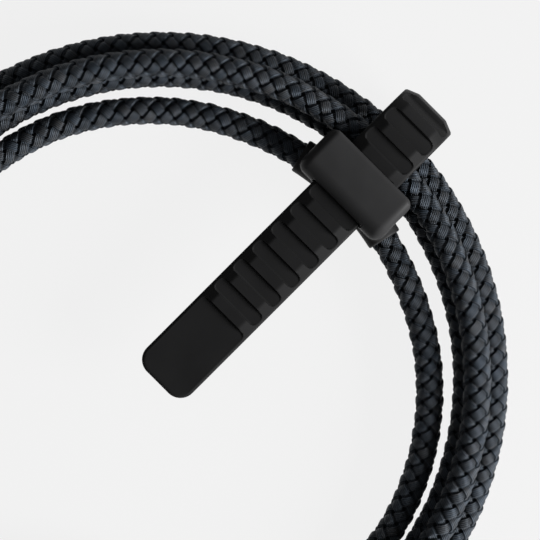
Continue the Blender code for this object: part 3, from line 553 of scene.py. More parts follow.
def braid_finish(cord):
    """Flat tapes of yarn, passing over and under each other.

    The mesh carries each point's place in the weave: across the rising tapes, across the falling
    ones, and along the cord.
    """
    finish = Finish("braided_yarn", cord.yarn_colour, 0.62)
    weave = finish.add("SeparateXYZ", [finish.attribute("weave")])
    rising, falling, along_cord = (weave.beside(axis) for axis in range(3))
    row, column = rising.math("ROUND"), falling.math("ROUND")
    across_rising, across_falling = rising - row, falling - column

    def tape_height(along, middle, across, side):
        """How high a tape's surface is in metres before the yarns, or far down beside the tape."""
        turn = ((along - middle) * math.pi).math("COSINE")
        wave = turn.math("SIGN") * abs(turn) ** CREST_POWER * (side * cord.wave)
        width = abs(across * (2.0 / cord.tape_share))
        crown = (1.0 - width**CROWN_POWER).math("MAXIMUM", 0.0).math("SQRT") * cord.crown
        return wave + crown - (width > 1.0)

    rising_height = tape_height(falling, row, across_rising, 1)
    falling_height = tape_height(rising, column, across_falling, -1)
    on_top = rising_height > falling_height
    across = finish.choose(on_top, across_falling, across_rising)
    from_crossing = abs(finish.choose(on_top, rising, falling) - finish.choose(on_top, row, column))
    own_row = row.math("FLOORED_MODULO", TAPES_EACH_WAY)
    own_column = column.math("FLOORED_MODULO", TAPES_EACH_WAY)
    tape = finish.choose(on_top, own_column + FALLING_TAPES, own_row)

    yarn_share = cord.yarns / cord.tape_share
    yarn = abs((across * (math.pi * yarn_share)).math("COSINE")) ** 0.7
    repeats = along_cord * (2.0 / cord.repeat)
    fibre_place = finish.vector(across * FIBRES_ACROSS, repeats * FIBRES_ALONG, tape)
    fibre = finish.noise(fibre_place, 1.0, 3.0)
    patch_place = finish.vector(tape, column - row)
    patch = finish.add("TexWhiteNoise", {"Vector": patch_place}, noise_dimensions="2D")
    yarn_number = tape * 7.0 + (across * yarn_share).math("ROUND")
    hue = finish.add("TexWhiteNoise", {"W": yarn_number}, noise_dimensions="1D")

    # Painted shade in the base colour: darker in the furrows between the yarns, at a tape's edges and
    # where it dives under another, beside fibre and patch tone that differs at random
    half = cord.tape_share / 2
    edge = finish.spread(abs(across), 0.8 * half, half, 1.0, 0.4, smooth=True)
    end = finish.spread(from_crossing, 0.40, 0.66, 1.0, 0.05, smooth=True)
    yarns = finish.spread(fibre, 0.3, 0.7, 0.45, 1.0) * finish.spread(yarn, 0.0, 1.0, 0.05, 1.0)
    share = yarns * finish.spread(patch, 0.0, 1.0, 0.6, 1.2) * edge * end
    grey = sum(cord.yarn_colour) / 3
    tint = hue * 0.4 + patch.beside("Color") * 0.6
    lit = finish.blend(tint, cord.yarn_colour, (1.03 * grey, grey, 0.98 * grey))
    finish.put("Base Color", finish.blend(share, cord.shade_colour, lit))
    finish.put("Roughness", finish.spread(fibre, 0.3, 0.7, 0.34, 0.5))
    finish.put("Normal", finish.bump(yarn * 0.7 + fibre * 0.5, 0.00022))
    finish.put("Specular IOR Level", 0.25)
    finish.put("Specular Tint", (0.62, 0.74, 0.90))
    finish.put("Anisotropic", 0.8)

    # The gloss runs across the yarns, which lie at a slant to the cord
    to_world = {"convert_from": "OBJECT", "convert_to": "WORLD"}
    cord_way = finish.add("VectorTransform", [finish.attribute("cord_way")], **to_world)
    facing = finish.add("NewGeometry", output="Normal")
    round_way = finish.vector_math("CROSS_PRODUCT", facing, cord_way)
    slant = finish.choose(on_top, -math.sin(TAPE_ANGLE), math.sin(TAPE_ANGLE))
    across_way = finish.scaled(round_way, math.cos(TAPE_ANGLE))
    finish.put("Tangent", finish.vector_math("ADD", across_way, finish.scaled(cord_way, slant)))
    return finish.material


# --- Cord ---


def plug_point(plug, along):
    """A point on a plug's axis, that far from its cord's entry towards the mouth."""
    heading = math.radians(plug["heading"])
    x, y, z = polar(plug["angle"], plug["radius"], PLUG_AXIS)
    return (x + along * math.cos(heading), y + along * math.sin(heading), z)


def top_strand_rise(diameter):
    """How far the top strand lies above the two that carry it."""
    return math.sqrt((diameter - STRAND_SQUEEZE) ** 2 - TOP_STRAND_LEAN**2)


def lone_place(angle, diameter):
    """Radius and height of the lone inner strand."""
    from_tie = abs((angle + 180) % 360 - 180)
    away = (1 - math.cos(math.radians(from_tie))) / 2
    away *= float(ease((from_tie - LEVEL_ANGLE) / (EASED_ANGLE - LEVEL_ANGLE)))
    beside_bundle = INNER_STRAND - diameter - GAP
    radius = float(smooth_least(LONE_STRAND + LONE_STRAND_DRIFT * away, beside_bundle, 3 * GAP))
    return radius, diameter / 2 + (BORE_HEIGHT - diameter / 2) * (1 - away) ** LONE_STRAND_SINK


def coil_place(angle, diameter):
    """Radius and height of the cord's centreline at an angle that goes on from turn to turn."""
    pitch = diameter - STRAND_SQUEEZE
    outer_strand = INNER_STRAND + pitch
    rise = top_strand_rise(diameter)
    ground = diameter / 2
    height = ground + BUNDLE_LIFT * (1 + math.cos(math.radians(angle))) / 2

    def passed(window):
        return gentle((angle - window[0]) / (window[1] - window[0]))

    if angle < TO_OUTER_STRAND[0]:
        radius, lone_height = lone_place(angle, diameter)
        share = passed(TO_INNER_STRAND)
        return radius + (INNER_STRAND - radius) * share, lone_height + (height - lone_height) * share
    if angle < TO_TOP_STRAND[0]:
        return INNER_STRAND + pitch * passed(TO_OUTER_STRAND), height
    if angle < TO_TAIL[0]:
        lean = math.atan2(rise, TOP_STRAND_LEAN) * passed(TO_TOP_STRAND)
        return INNER_STRAND + pitch * math.cos(lean), height + pitch * math.sin(lean)
    share = passed(TO_TAIL)
    inward = TOP_STRAND_LEAN - pitch
    lean = math.atan2(rise, inward) * (1 - share)
    reach = math.hypot(rise, inward) * (1 - share) + (diameter + GAP) * share
    over = reach * math.sin(lean)
    return outer_strand + reach * math.cos(lean), (height + over) * (1 - share) + (ground + over) * share


def smooth_through(points, pieces=8):
    """A Catmull-Rom curve through the points, as an array of fine points."""
    points = np.array(points)
    ends = np.vstack([2 * points[0] - points[1], points, 2 * points[-1] - points[-2]])
    before, start, stop, after = (a[:, None, :] for a in (ends[:-3], ends[1:-2], ends[2:-1], ends[3:]))
    t = (np.arange(pieces) / pieces)[None, :, None]
    curve = 0.5 * (2 * start + (stop - before) * t + (2 * before - 5 * start + 4 * stop - after) * t**2
                   + (3 * start - before - 3 * stop + after) * t**3)
    return np.vstack([curve.reshape(-1, 3), points[-1]])


def lengths_along(line):
    return np.concatenate([[0.0], np.cumsum(np.linalg.norm(np.diff(line, axis=0), axis=1))])


def values_at(places, lengths, values):
    """Rows of values, found at places along a line whose points lie at those lengths."""
    return np.stack([np.interp(places, lengths, column) for column in values.T], axis=-1)


def unit(vectors):
    return vectors / np.linalg.norm(vectors, axis=-1, keepdims=True)


def evenly(line, spacing):
    """The line with its points at even distances."""
    lengths = lengths_along(line)
    places = np.linspace(0.0, lengths[-1], round(lengths[-1] / spacing) + 1)
    return values_at(places, lengths, line)


def relaxed(line, reach):
    """The line with each point drawn to the average of its neighbours, and its ends in place."""
    for _ in range(reach):
        line[1:-1] = (line[:-2] + 2 * line[1:-1] + line[2:]) / 4
    return line


def cord_line(diameter):
    """The cord's centreline from its end in the inner plug to its end in the outer one."""
    straight = (CORD_END, CORD_END / 2, 0.0, -CORD_LEAD)
    steps = int((COIL_END - COIL_START) / COIL_STEP)
    angles = [COIL_START + COIL_STEP * i for i in range(steps + 1)]
    route = [plug_point(INNER_PLUG, along) for along in straight]
    route += [polar(*place) for place in INNER_LEAD]
    route += [polar(angle, *coil_place(angle, diameter)) for angle in angles]
    route += [polar(*place) for place in OUTER_LEAD]
    route += [plug_point(OUTER_PLUG, along) for along in reversed(straight)]
    return relaxed(evenly(smooth_through(route), CENTRE_STEP), LINE_SMOOTHING)


def tape_edges(place, share):
    """A lattice place moved to where the surface turns: on the tape's edge and just outside it."""
    middle = np.round(place)
    across = place - middle
    edge = share / 2
    cells = np.arange(LATTICE / 2 + 1) / LATTICE
    turns = (0.0, 0.4 * edge, 0.75 * edge, edge - EDGE_STEP, edge + EDGE_STEP, 0.5)
    return middle + np.sign(across) * np.interp(np.abs(across), cells, turns)


def weave_height(rising, falling, cord):
    """How high the top tape's surface is at a place in the weave."""
    row, column = np.round(rising), np.round(falling)

    def crowned(across):
        return np.sqrt(np.clip(1 - np.abs(2 * across / cord.tape_share) ** CROWN_POWER, 0.0, 1.0))

    def tape(along, across, side):
        turn = np.cos(np.pi * along)
        crest = np.sign(turn) * np.abs(turn) ** CREST_POWER
        top = side * cord.wave * crest + cord.crown * crowned(across)
        return np.where(np.abs(across) < cord.tape_share / 2, top, -cord.wave)

    rising_top = tape(falling - row, rising - row, 1)
    falling_top = tape(rising - column, falling - column, -1)
    lift = np.random.default_rng(UNEVEN_SEED).normal(0.0, UNEVEN, (UNEVEN_REPEAT, TAPES_EACH_WAY))
    uneven = lift[(column - row).astype(int) % UNEVEN_REPEAT, row.astype(int) % TAPES_EACH_WAY]
    return np.maximum(rising_top, falling_top) + uneven * crowned(rising - row) * crowned(falling - column)


def carry(mesh, name, domain, vectors):
    """Writes a vector for each corner or point into the mesh."""
    attribute = mesh.attributes.new(name, "FLOAT_VECTOR", domain)
    attribute.data.foreach_set("vector", vectors.astype(np.float32).ravel())


def braid_mesh(line, cord):
    """The braided surface, on a lattice whose edges run along the tapes."""
    spacing = cord.repeat / (2 * LATTICE)
    lengths = lengths_along(line)
    rings = int(lengths[-1] / spacing) - 1
    count = TAPES_EACH_WAY * LATTICE  # points in a ring, each ring half a cell round from the last
    k = np.arange(rings)[:, None]
    n = 2 * np.arange(count)[None, :] + k % 2
    rising = tape_edges((n - k) / (2 * LATTICE), cord.tape_share)
    falling = tape_edges((n + k) / (2 * LATTICE), cord.tape_share)
    inner = (k > 0) & (k < rings - 1)
    along = np.where(inner, (falling - rising) / 2 * cord.repeat, k * spacing) + spacing

    centre = values_at(along, lengths, line)
    tangent = unit(values_at(along, lengths, unit(np.gradient(line, axis=0))))
    up = unit(np.array([0.0, 0.0, 1.0]) - tangent * tangent[..., 2:])
    outward = np.cross(tangent, up)
    core = cord.diameter / 2 - cord.wave - cord.crown
    radius = (core + weave_height(rising, falling, cord))[..., None]
    turn = (rising + falling) / 2
    angle = (2 * math.pi * turn / TAPES_EACH_WAY + math.radians(BRAID_TURN))[..., None]
    points = centre + radius * (np.cos(angle) * up + np.sin(angle) * outward)

    k = np.arange(1, rings - 1)[:, None]
    m = np.arange(count)[None, :]
    ring = k * count
    between = (m + k % 2) % count
    corners = (ring + m, ring - count + between, ring + (m + 1) % count, ring + count + between)
    quads = np.stack(corners, axis=-1).reshape(-1, 4)
    mesh = mesh_of("braided_cord", points.reshape(-1, 3), quads)

    weave = np.stack([rising, falling, along], axis=-1).reshape(-1, 3)[quads]
    for column in (0, 1):
        values = weave[..., column]
        low = values.min(axis=1, keepdims=True)
        whole_turn = np.where(values - low > TAPES_EACH_WAY / 2, TAPES_EACH_WAY, 0)
        weave[..., column] = values - whole_turn
    carry(mesh, "weave", "CORNER", weave)
    carry(mesh, "cord_way", "POINT", tangent)
    return mesh


class CABLE_OT_braided_cord(bpy.types.Operator):
    """Winds the braided cord from the inner plug to the outer one"""

    bl_idname = "cable.braided_cord"
    bl_label = "Braided Cord"

    def execute(self, context):
        settings = context.scene.cable_cord
        line = cord_line(settings.diameter)
        mesh = braid_mesh(line, settings)
        piece = add_piece("braided_cord", mesh, braid_finish(settings), "cable")
        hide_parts("cord_coil", "cord_inner_turn", "cord_tail")
        return {"FINISHED"}


# --- Cable tie ---


def strap_height(x):
    """Height of the strap's underside on its run through the keeper and over the bundle."""
    return SLOT_HEIGHT + (STRAP_TOP - SLOT_HEIGHT) * ease((x - RAMP_FOOT_X) / (RAMP_TOP_X - RAMP_FOOT_X))


def strap_underside(thickness):
    """The strap's inner line from its root to its tip, as (x, z) from the coil's centre."""
    loop_radius = (STRAP_TOP - thickness) / 2
    run = np.linspace(ANCHOR_X, LOOP_X, 120, endpoint=False)
    lower = np.stack([run, np.full_like(run, thickness)], axis=1)
    angle = np.radians(np.linspace(-90, 90, 160, endpoint=False))
    loop_heights = thickness + loop_radius * (1 + np.sin(angle))
    loop = np.stack([LOOP_X + loop_radius * np.cos(angle), loop_heights], axis=1)
    tip = -TAIL_REACH
    x = np.linspace(LOOP_X, tip, 600)
    droop = TAIL_DROOP * np.clip((KEEPER_INNER_X - x) / (KEEPER_INNER_X - tip), 0.0, None) ** 2
    upper = np.stack([x, strap_height(x) - droop], axis=1)
    return np.vstack([lower, loop, upper])


class StrapLine:
    """Places along the strap, by distance from its root on the line through its middle."""

    def __init__(self, thickness):
        self.inner = strap_underside(thickness)
        heading = unit(np.gradient(self.inner, axis=0))
        self.outward = np.stack([heading[:, 1], -heading[:, 0]], axis=1)
        self.lengths = lengths_along(self.inner + self.outward * thickness / 2)
        self.length = self.lengths[-1]

    def swept(self, distances, across, up):
        """Points of the strap's surface, for rings of (across, up) at each distance."""
        base = values_at(distances, self.lengths, self.inner)
        outward = values_at(distances, self.lengths, self.outward)
        x = COIL_CENTRE_X + base[:, :1] + outward[:, :1] * up
        z = base[:, 1:] + outward[:, 1:] * up
        return np.stack([x, across, z], axis=-1)


def groove_depth(from_tip, across, tie):
    """How deep the surface is cut below the ribs, at places along and across the strap."""
    first_rib = tie.pad_length + tie.rib_width / 2
    last_rib = first_rib + (tie.rib_count - 1) * tie.rib_pitch
    phase = np.mod(from_tip - first_rib, tie.rib_pitch) - tie.rib_pitch / 2
    along_out = np.abs(phase) - (tie.rib_pitch - tie.rib_width) / 2
    along_out = np.where(from_tip < first_rib, from_tip - tie.pad_length, along_out)
    along_out = np.where(from_tip > last_rib, GROOVE_CORNER, along_out)
    across_out = np.abs(across) - (tie.width / 2 - GROOVE_MARGIN)
    a, b = along_out + GROOVE_CORNER, across_out + GROOVE_CORNER
    past_corner = np.hypot(np.clip(a, 0.0, None), np.clip(b, 0.0, None))
    outside = past_corner + np.minimum(np.maximum(a, b), 0.0) - GROOVE_CORNER
    return tie.rib_height * (1 - ease((outside + GROOVE_WALL) / GROOVE_WALL))


def strap_rings(from_root, from_tip, tie):
    """Across and up places of the strap's outline at each distance."""
    half = np.where(from_root <= ANCHOR_LENGTH, ANCHOR_WIDTH / 2, tie.width / 2)
    short = np.clip(tie.tip_radius - from_tip, 0.0, tie.tip_radius)
    half = (half - tie.tip_radius + np.sqrt(tie.tip_radius**2 - short**2))[:, None]

    top_across = np.linspace(1.0, -1.0, 89) * half
    corner_x = np.clip(tie.tip_radius - from_tip, 0.0, None)[:, None]
    corner_y = np.clip(np.abs(top_across) - (tie.width / 2 - tie.tip_radius), 0.0, None)
    at_tip = from_tip[:, None] < tie.tip_radius
    from_edge = np.where(at_tip, tie.tip_radius - np.hypot(corner_x, corner_y), half - np.abs(top_across))
    slope = (tie.thickness - tie.edge_height) / tie.facet_width
    facet = tie.edge_height + slope * np.clip(from_edge, 0.0, None)
    facet = facet - EDGE_DROP * np.clip(1 - from_edge / EDGE_ROUNDING, 0.0, 1.0) ** 2
    depth = groove_depth(from_tip[:, None], top_across, tie)
    top = smooth_least(facet, tie.thickness - depth, RIB_ROUNDING)

    bottom = np.linspace(-1.0, 1.0, 13) * (half - STRAP_ROUNDING)
    quarter = np.array(arc(0, 90, 4))
    side = half - STRAP_ROUNDING + STRAP_ROUNDING * np.sin(quarter)
    side_up = np.broadcast_to(STRAP_ROUNDING * (1 - np.cos(quarter)), side.shape)
    across = np.hstack([bottom, side[:, 1:], top_across, -side[:, :0:-1]])
    up = np.hstack([np.zeros_like(bottom), side_up[:, 1:], top, side_up[:, :0:-1]])
    return across, up


def strap_mesh(tie):
    """The ribbed strap, from its root under the keeper round the bundle to its tip."""
    line = StrapLine(tie.thickness)
    root = np.linspace(0.0, ANCHOR_LENGTH, 4)
    tip = line.length - tie.tip_radius * (1 - np.cos(np.radians(np.linspace(90, 0, 25))))
    body = np.arange(ANCHOR_LENGTH + GAP / 2, tip[0] - STRAP_STEP / 2, STRAP_STEP)
    distances = np.concatenate([root, body, tip])
    across, up = strap_rings(distances, line.length - distances, tie)
    return creased(loft("tie_strap", line.swept(distances, across, up)), degrees=50)


def keeper_section(y, inset, tie):
    """The keeper's block cut across the cord, that far inside its full outline."""
    top = strap_height(KEEPER_OUTER_X) + tie.thickness + GAP + KEEPER_ROOF - inset
    inner_x, outer_x = KEEPER_INNER_X + inset, KEEPER_OUTER_X - inset
    inward = ((1, 1), (-1, 1), (-1, -1), (1, -1))
    points = []
    for quarter, (inward_x, inward_z) in enumerate(inward):
        x = inner_x if inward_x > 0 else outer_x
        z = inset if inward_z > 0 else top
        radius = max(KEEPER_CORNERS[quarter] - inset, GAP)
        for angle in arc(180 + 90 * quarter, 270 + 90 * quarter, 12):
            across = x + radius * (inward_x + math.cos(angle))
            points.append((across, z + radius * (inward_z + math.sin(angle))))
        if quarter == 2:
            points += [(x + (inner_x - x) * share, top) for share in KEEPER_TOP_SHARES]
    end_drop = KEEPER_END_DROP * (2 * y / KEEPER_LENGTH) ** 2
    crowned = []
    for across, z in points:
        drop = (across - KEEPER_CREST_X) ** 2 / (2 * KEEPER_CROWN_RADIUS) + end_drop
        crowned.append((COIL_CENTRE_X + across, y, z - drop * z / top))
    return crowned


def keeper_block(tie):
    """The keeper's outside, with its two ends rounded over."""
    straight_half = KEEPER_LENGTH / 2 - KEEPER_END_ROUNDING
    end = []
    for angle in arc(0, 90, 12):
        y = straight_half + KEEPER_END_ROUNDING * math.sin(angle)
        end.append((y, KEEPER_END_ROUNDING * (1 - math.cos(angle))))
    loops = [keeper_section(-y, inset, tie) for y, inset in reversed(end)]
    loops += [keeper_section(y, inset, tie) for y, inset in end]
    return loft("tie_keeper", loops)


def collar_tool(cord_radius):
    """A short sleeve along the lone strand, a little longer than the keeper."""
    half_turn = math.degrees(COLLAR_REACH / LONE_STRAND)
    loops = []
    for share in np.sin(np.linspace(-np.pi / 2, np.pi / 2, 41)):
        at_end = max(0.0, (abs(share) - 1 + COLLAR_TRIM_SHARE) / COLLAR_TRIM_SHARE)
        radius = cord_radius + GAP + COLLAR_WALL - COLLAR_TRIM * at_end**2
        loops.append(round_section(half_turn * share, LONE_STRAND, BORE_HEIGHT, radius, 48))
    return loft("collar_tool", loops)


def slot_tool(tie):
    """The strap's own run through the keeper, with clearance all round."""
    line = StrapLine(tie.thickness)
    x = line.inner[:, 0]
    upper = np.arange(len(x)) > len(x) // 2
    inside = upper & (x > KEEPER_INNER_X - TOOL_REACH) & (x < KEEPER_OUTER_X + TOOL_REACH)
    distances = line.lengths[inside][::4]
    half = tie.width / 2 + GAP
    roof = tie.thickness + GAP
    across = np.broadcast_to([-half, half, half, -half], (len(distances), 4))
    return loft("slot_tool", line.swept(distances, across, np.array([-GAP, -GAP, roof, roof])))


def keeper_mesh(tie, diameter):
    """The keeper with its collar, cut out for the strands, the strap and the strap's root."""
    bore = diameter / 2 + GAP
    bundle_height = diameter / 2 + BUNDLE_LIFT
    top_height = bundle_height + top_strand_rise(diameter)
    top_strand = INNER_STRAND + TOP_STRAND_LEAN
    roof = tie.thickness + GAP
    low, high = COIL_CENTRE_X + ANCHOR_X - GAP, COIL_CENTRE_X + ANCHOR_X + ANCHOR_LENGTH + 1.5 * GAP
    past_keeper = COIL_CENTRE_X + KEEPER_OUTER_X + TOOL_REACH
    anchor_half, channel_half = ANCHOR_WIDTH / 2 + GAP, tie.width / 2 + GAP
    cuts = (
        torus("bore_tool", LONE_STRAND, BORE_HEIGHT, bore),
        torus("inner_strand_tool", INNER_STRAND, bundle_height, bore),
        torus("top_strand_tool", top_strand, top_height, bore),
        slot_tool(tie),
        block("anchor_tool", (low, -anchor_half, -roof), (high, anchor_half, roof)),
        block("channel_tool", ((low + high) / 2, -channel_half, -roof), (past_keeper, channel_half, roof)),
    )
    steps = [("UNION", collar_tool(diameter / 2))] + [("DIFFERENCE", cut) for cut in cuts]
    return softened(combined(keeper_block(tie), steps), KEEPER_CELL, KEEPER_PASSES)


def silicone_finish(name, colour, tie):
    return moulded_finish(name, colour, tie.roughness, specular=0.06)


class CABLE_OT_tie_strap(bpy.types.Operator):
    """Makes the ribbed strap that loops round the bundle"""

    bl_idname = "cable.tie_strap"
    bl_label = "Strap"

    def execute(self, context):
        tie = context.scene.cable_tie
        material = silicone_finish("strap_silicone", tie.strap_colour, tie)
        piece = add_piece("ribbed_strap", strap_mesh(tie), material, "tie")
        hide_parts("tie_strap")
        return {"FINISHED"}


class CABLE_OT_tie_keeper(bpy.types.Operator):
    """Makes the keeper that holds the strap to the cord"""

    bl_idname = "cable.tie_keeper"
    bl_label = "Keeper"

    def execute(self, context):
        tie = context.scene.cable_tie
        material = silicone_finish("keeper_silicone", tie.keeper_colour, tie)
        mesh = keeper_mesh(tie, context.scene.cable_cord.diameter)
        piece = add_piece("strap_keeper", mesh, material, "tie")
        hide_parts("tie_keeper")
        return {"FINISHED"}


# --- Plugs ---


def plug_place(plug):
    """Turns and moves what is made along X from the cord's entry to where the plug lies."""
    entry = Vector(plug_point(plug, 0.0))
    return Matrix.Translation(entry) @ Matrix.Rotation(math.radians(plug["heading"]), 4, "Z")


def rounded_outline(width, height, radius, steps=10):
    """A rectangle with round corners, as (y, z) points."""
    points = []
    for quarter, (side, level) in enumerate(((1, 1), (-1, 1), (-1, -1), (1, -1))):
        for angle in arc(90 * quarter, 90 * quarter + 90, steps):
            points.append((side * (width / 2 - radius) + radius * math.cos(angle),
                           level * (height / 2 - radius) + radius * math.sin(angle)))
    return points


def prism(name, stations, ends=(0, -1)):
    """A body through outlines across the plug, each given with its place along it."""
    return loft(name, [[(x, y, z) for y, z in outline] for x, outline in stations], ends)


def cover_mesh(plugs, cord_radius):
    """A plug's hollow cover, with round edges and openings for cord and shell."""
    rear = plugs.relief_length + GAP
    front = rear + plugs.cover_length

    def outline(inset):
        width, height = plugs.cover_width - 2 * inset, plugs.cover_height - 2 * inset
        return rounded_outline(width, height, plugs.cover_edge - inset)

    stations = []
    for angle in arc(0, 90, 8):
        x = rear + COVER_ROUNDING * (1 - math.cos(angle))
        stations.append((x, outline(COVER_ROUNDING * (1 - math.sin(angle)))))
    stations += [(rear + front - x, shape) for x, shape in reversed(stations)]
    entry = cord_radius + GAP
    mouth_width, mouth_height = plugs.shell_width + 2 * MOUTH_FIT, plugs.shell_height + 2 * MOUTH_FIT
    entry_hole = rounded_outline(2 * entry, 2 * entry, entry - HAIR)
    mouth_hole = rounded_outline(mouth_width, mouth_height, mouth_height / 2 - HAIR)
    steps = []
    for name, start, stop, shape in (
        ("cavity_tool", rear + COVER_WALL, front - COVER_WALL, outline(COVER_WALL)),
        ("entry_tool", rear - TOOL_REACH, rear + TOOL_REACH, entry_hole),
        ("mouth_tool", front - TOOL_REACH, front + TOOL_REACH, mouth_hole),
    ):
        steps.append(("DIFFERENCE", prism(name, ((start, shape), (stop, shape)))))
    return creased(combined(prism("cover", stations), steps), degrees=38)


def relief_mesh(plugs, cord_radius):
    """A tapered strain relief with soft rings, open for the cord."""
    length = plugs.relief_length
    spacing = length / (RELIEF_GROOVES + 1)
    profile = []
    for step in range(121):
        along = length * step / 120
        radius = RELIEF_REAR_RADIUS + (RELIEF_FRONT_RADIUS - RELIEF_REAR_RADIUS) * along / length
        if along > spacing / 2:
            from_groove = abs(along / spacing % 1.0 - RELIEF_GROOVE_PLACE)
            radius -= RELIEF_GROOVE_DEPTH * float(ease(1 - from_groove / RELIEF_GROOVE_HALF))
        lip = RELIEF_LIP * max(0.0, 1 - along / RELIEF_LIP) ** 2
        profile.append((radius - lip, along))
    profile += [(cord_radius + GAP, share * length) for share in (1.0, 0.5, 0.0)]
    turns = arc(0, 360, 72)[:-1]
    loops = [[(along, radius * math.cos(turn), radius * math.sin(turn)) for turn in turns]
             for radius, along in profile]
    return creased(loft("strain_relief", loops, ends=()), degrees=50)


def shell_mesh(plugs):
    """A plug's seamless metal shell, its lip rounded over."""
    front = plugs.relief_length + GAP + plugs.cover_length + plugs.shell_reach
    rear = front - plugs.shell_length
    lip = SHELL_WALL / 2
    stations = [(rear, 0.0), (front - lip, 0.0)]
    for angle in arc(0, 180, 8)[1:]:
        stations.append((front - lip * (1 - math.sin(angle)), lip * (1 - math.cos(angle))))
    stations.append((rear, SHELL_WALL))

    def outline(inset):
        width, height = plugs.shell_width - 2 * inset, plugs.shell_height - 2 * inset
        return rounded_outline(width, height, height / 2 - HAIR, 14)

    outlines = [(x, outline(inset)) for x, inset in stations]
    return creased(prism("plug_shell", outlines, ends=()), degrees=50)


def add_on_both_plugs(part, mesh, material):
    """One of the piece on each plug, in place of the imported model's."""
    for plug in PLUGS:
        placed = mesh.copy()
        placed.transform(plug_place(plug))
        node = plug["prefix"] + part
        piece = add_piece(node + "_skin", placed, material, "cable")
        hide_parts(node)
    bpy.data.meshes.remove(mesh)


class CABLE_OT_plug_covers(bpy.types.Operator):
    """Makes the moulded covers of the two plugs"""

    bl_idname = "cable.plug_covers"
    bl_label = "Plug Covers"

    def execute(self, context):
        plugs = context.scene.cable_plugs
        material = moulded_finish("cover_plastic", plugs.cover_colour, roughness=0.5, grain=7000.0,
                                  depth=0.000005, specular=0.1)
        mesh = cover_mesh(plugs, context.scene.cable_cord.diameter / 2)
        add_on_both_plugs("cover", mesh, material)
        return {"FINISHED"}


class CABLE_OT_strain_reliefs(bpy.types.Operator):
    """Makes the ringed strain reliefs behind the two plugs"""

    bl_idname = "cable.strain_reliefs"
    bl_label = "Strain Reliefs"

    def execute(self, context):
        plugs = context.scene.cable_plugs
        material = moulded_finish("relief_rubber", plugs.relief_colour, roughness=0.6, specular=0.15)
        mesh = relief_mesh(plugs, context.scene.cable_cord.diameter / 2)
        add_on_both_plugs("strain_relief", mesh, material)
        return {"FINISHED"}


class CABLE_OT_plug_shells(bpy.types.Operator):
    """Makes the drawn metal shells of the two plugs"""

    bl_idname = "cable.plug_shells"
    bl_label = "Plug Shells"

    def execute(self, context):
        plugs = context.scene.cable_plugs
        material = metal_finish("nickel_plate", plugs.metal_colour, roughness=0.28)
        add_on_both_plugs("shell", shell_mesh(plugs), material)
        return {"FINISHED"}


class CABLE_OT_plug_insides(bpy.types.Operator):
    """Gives the parts inside the plugs their finishes"""

    bl_idname = "cable.plug_insides"
    bl_label = "Plug Insides"

    def execute(self, context):
        metal = metal_finish("spring_steel", context.scene.cable_plugs.metal_colour, roughness=0.34)
        gold = metal_finish("gold_plate", (0.85, 0.62, 0.27), roughness=0.22)
        wires = {"power_wire": (0.50, 0.02, 0.02), "channel_wire": (0.02, 0.08, 0.45),
                 "ground_wire": (0.02, 0.02, 0.02), "data_plus_wire": (0.03, 0.30, 0.06),
                 "data_minus_wire": (0.75, 0.75, 0.75)}
        finishes = {name: moulded_finish(name + "_sleeve", colour, 0.4) for name, colour in wires.items()}
        for part in ("latch_spring", "shield_can_top", "shield_can_bottom", "crimp_collar"):
            finishes[part] = metal
        finishes["upper_contacts"] = finishes["lower_contacts"] = gold
        finishes["insulator"] = moulded_finish("insulator_plastic", (0.02, 0.02, 0.02), 0.45)
        finishes["marker_chip"] = moulded_finish("chip_package", (0.02, 0.02, 0.02), 0.5, grain=5000.0)
        finishes["circuit_board"] = board_finish()
        for plug in PLUGS:
            for part, material in finishes.items():
                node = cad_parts[plug["prefix"] + part]
                node.data.materials.clear()
                node.data.materials.append(material)
        return {"FINISHED"}


# --- Stage ---


def floor_material(stage):
    """A pale floor that the camera and reflections see as it is written, with a faint shadow."""
    nodes = Nodes("pale_floor")
    nodes.tree.nodes.remove(nodes.tree.nodes["Principled BSDF"])
    camera_ray = nodes.add("LightPath", output="Is Camera Ray")
    seen = camera_ray.math("MAXIMUM", camera_ray.beside("Is Glossy Ray"))
    seen = seen.math("MAXIMUM", camera_ray.beside("Is Transmission Ray"))
    glow = nodes.add("Emission", [stage.floor_colour])
    shadowed = nodes.add("BsdfDiffuse", [stage.floor_colour])
    bounce = nodes.add("BsdfDiffuse", [stage.bounce_colour])
    floor = nodes.add("MixShader", (stage.shadow_share, glow, shadowed))
    surface = nodes.add("MixShader", (seen, bounce, floor))
    nodes.feed(surface, nodes.tree.nodes["Material Output"].inputs["Surface"])
    return nodes.material


def add_floor(stage):
    """A round floor that curves up at its far rim, so that low views see it behind the cable too."""
    profile = [(FLOOR_RADIUS, 0.0)]
    for angle in arc(0, 90, 16)[1:]:
        profile.append((FLOOR_RADIUS + FLOOR_RIM * math.sin(angle), FLOOR_RIM * (1 - math.cos(angle))))
    profile.append((FLOOR_RADIUS + FLOOR_RIM, FLOOR_TOP))
    turns = arc(0, 360, 96)[:-1]
    loops = [[(radius * math.cos(turn), radius * math.sin(turn), z - FLOOR_DROP) for turn in turns]
             for radius, z in profile]
    floor = new_object("floor", loft("floor", loops, ends=(0,)))
    floor.data.materials.append(floor_material(stage))


def add_key_light(stage):
    """A soft box low on the strap's right side."""
    light = bpy.data.lights.new("key", "AREA")
    light.shape = "RECTANGLE"
    light.size, light.size_y = KEY_SIZE
    light.energy = stage.key_strength
    item = new_object("key", light)
    target = Vector((stage.camera_x, 0.0, 0.0))
    item.location = target + Vector(KEY_PLACE)
    item.rotation_euler = (target - item.location).to_track_quat("-Z", "Y").to_euler()


def add_world(stage):
    world = bpy.data.worlds.new("studio")
    bpy.context.scene.world = world
    world.use_nodes = True
    background = world.node_tree.nodes["Background"]
    background.inputs["Color"].default_value = (1.0, 1.0, 1.0, 1.0)
    background.inputs["Strength"].default_value = stage.world_strength


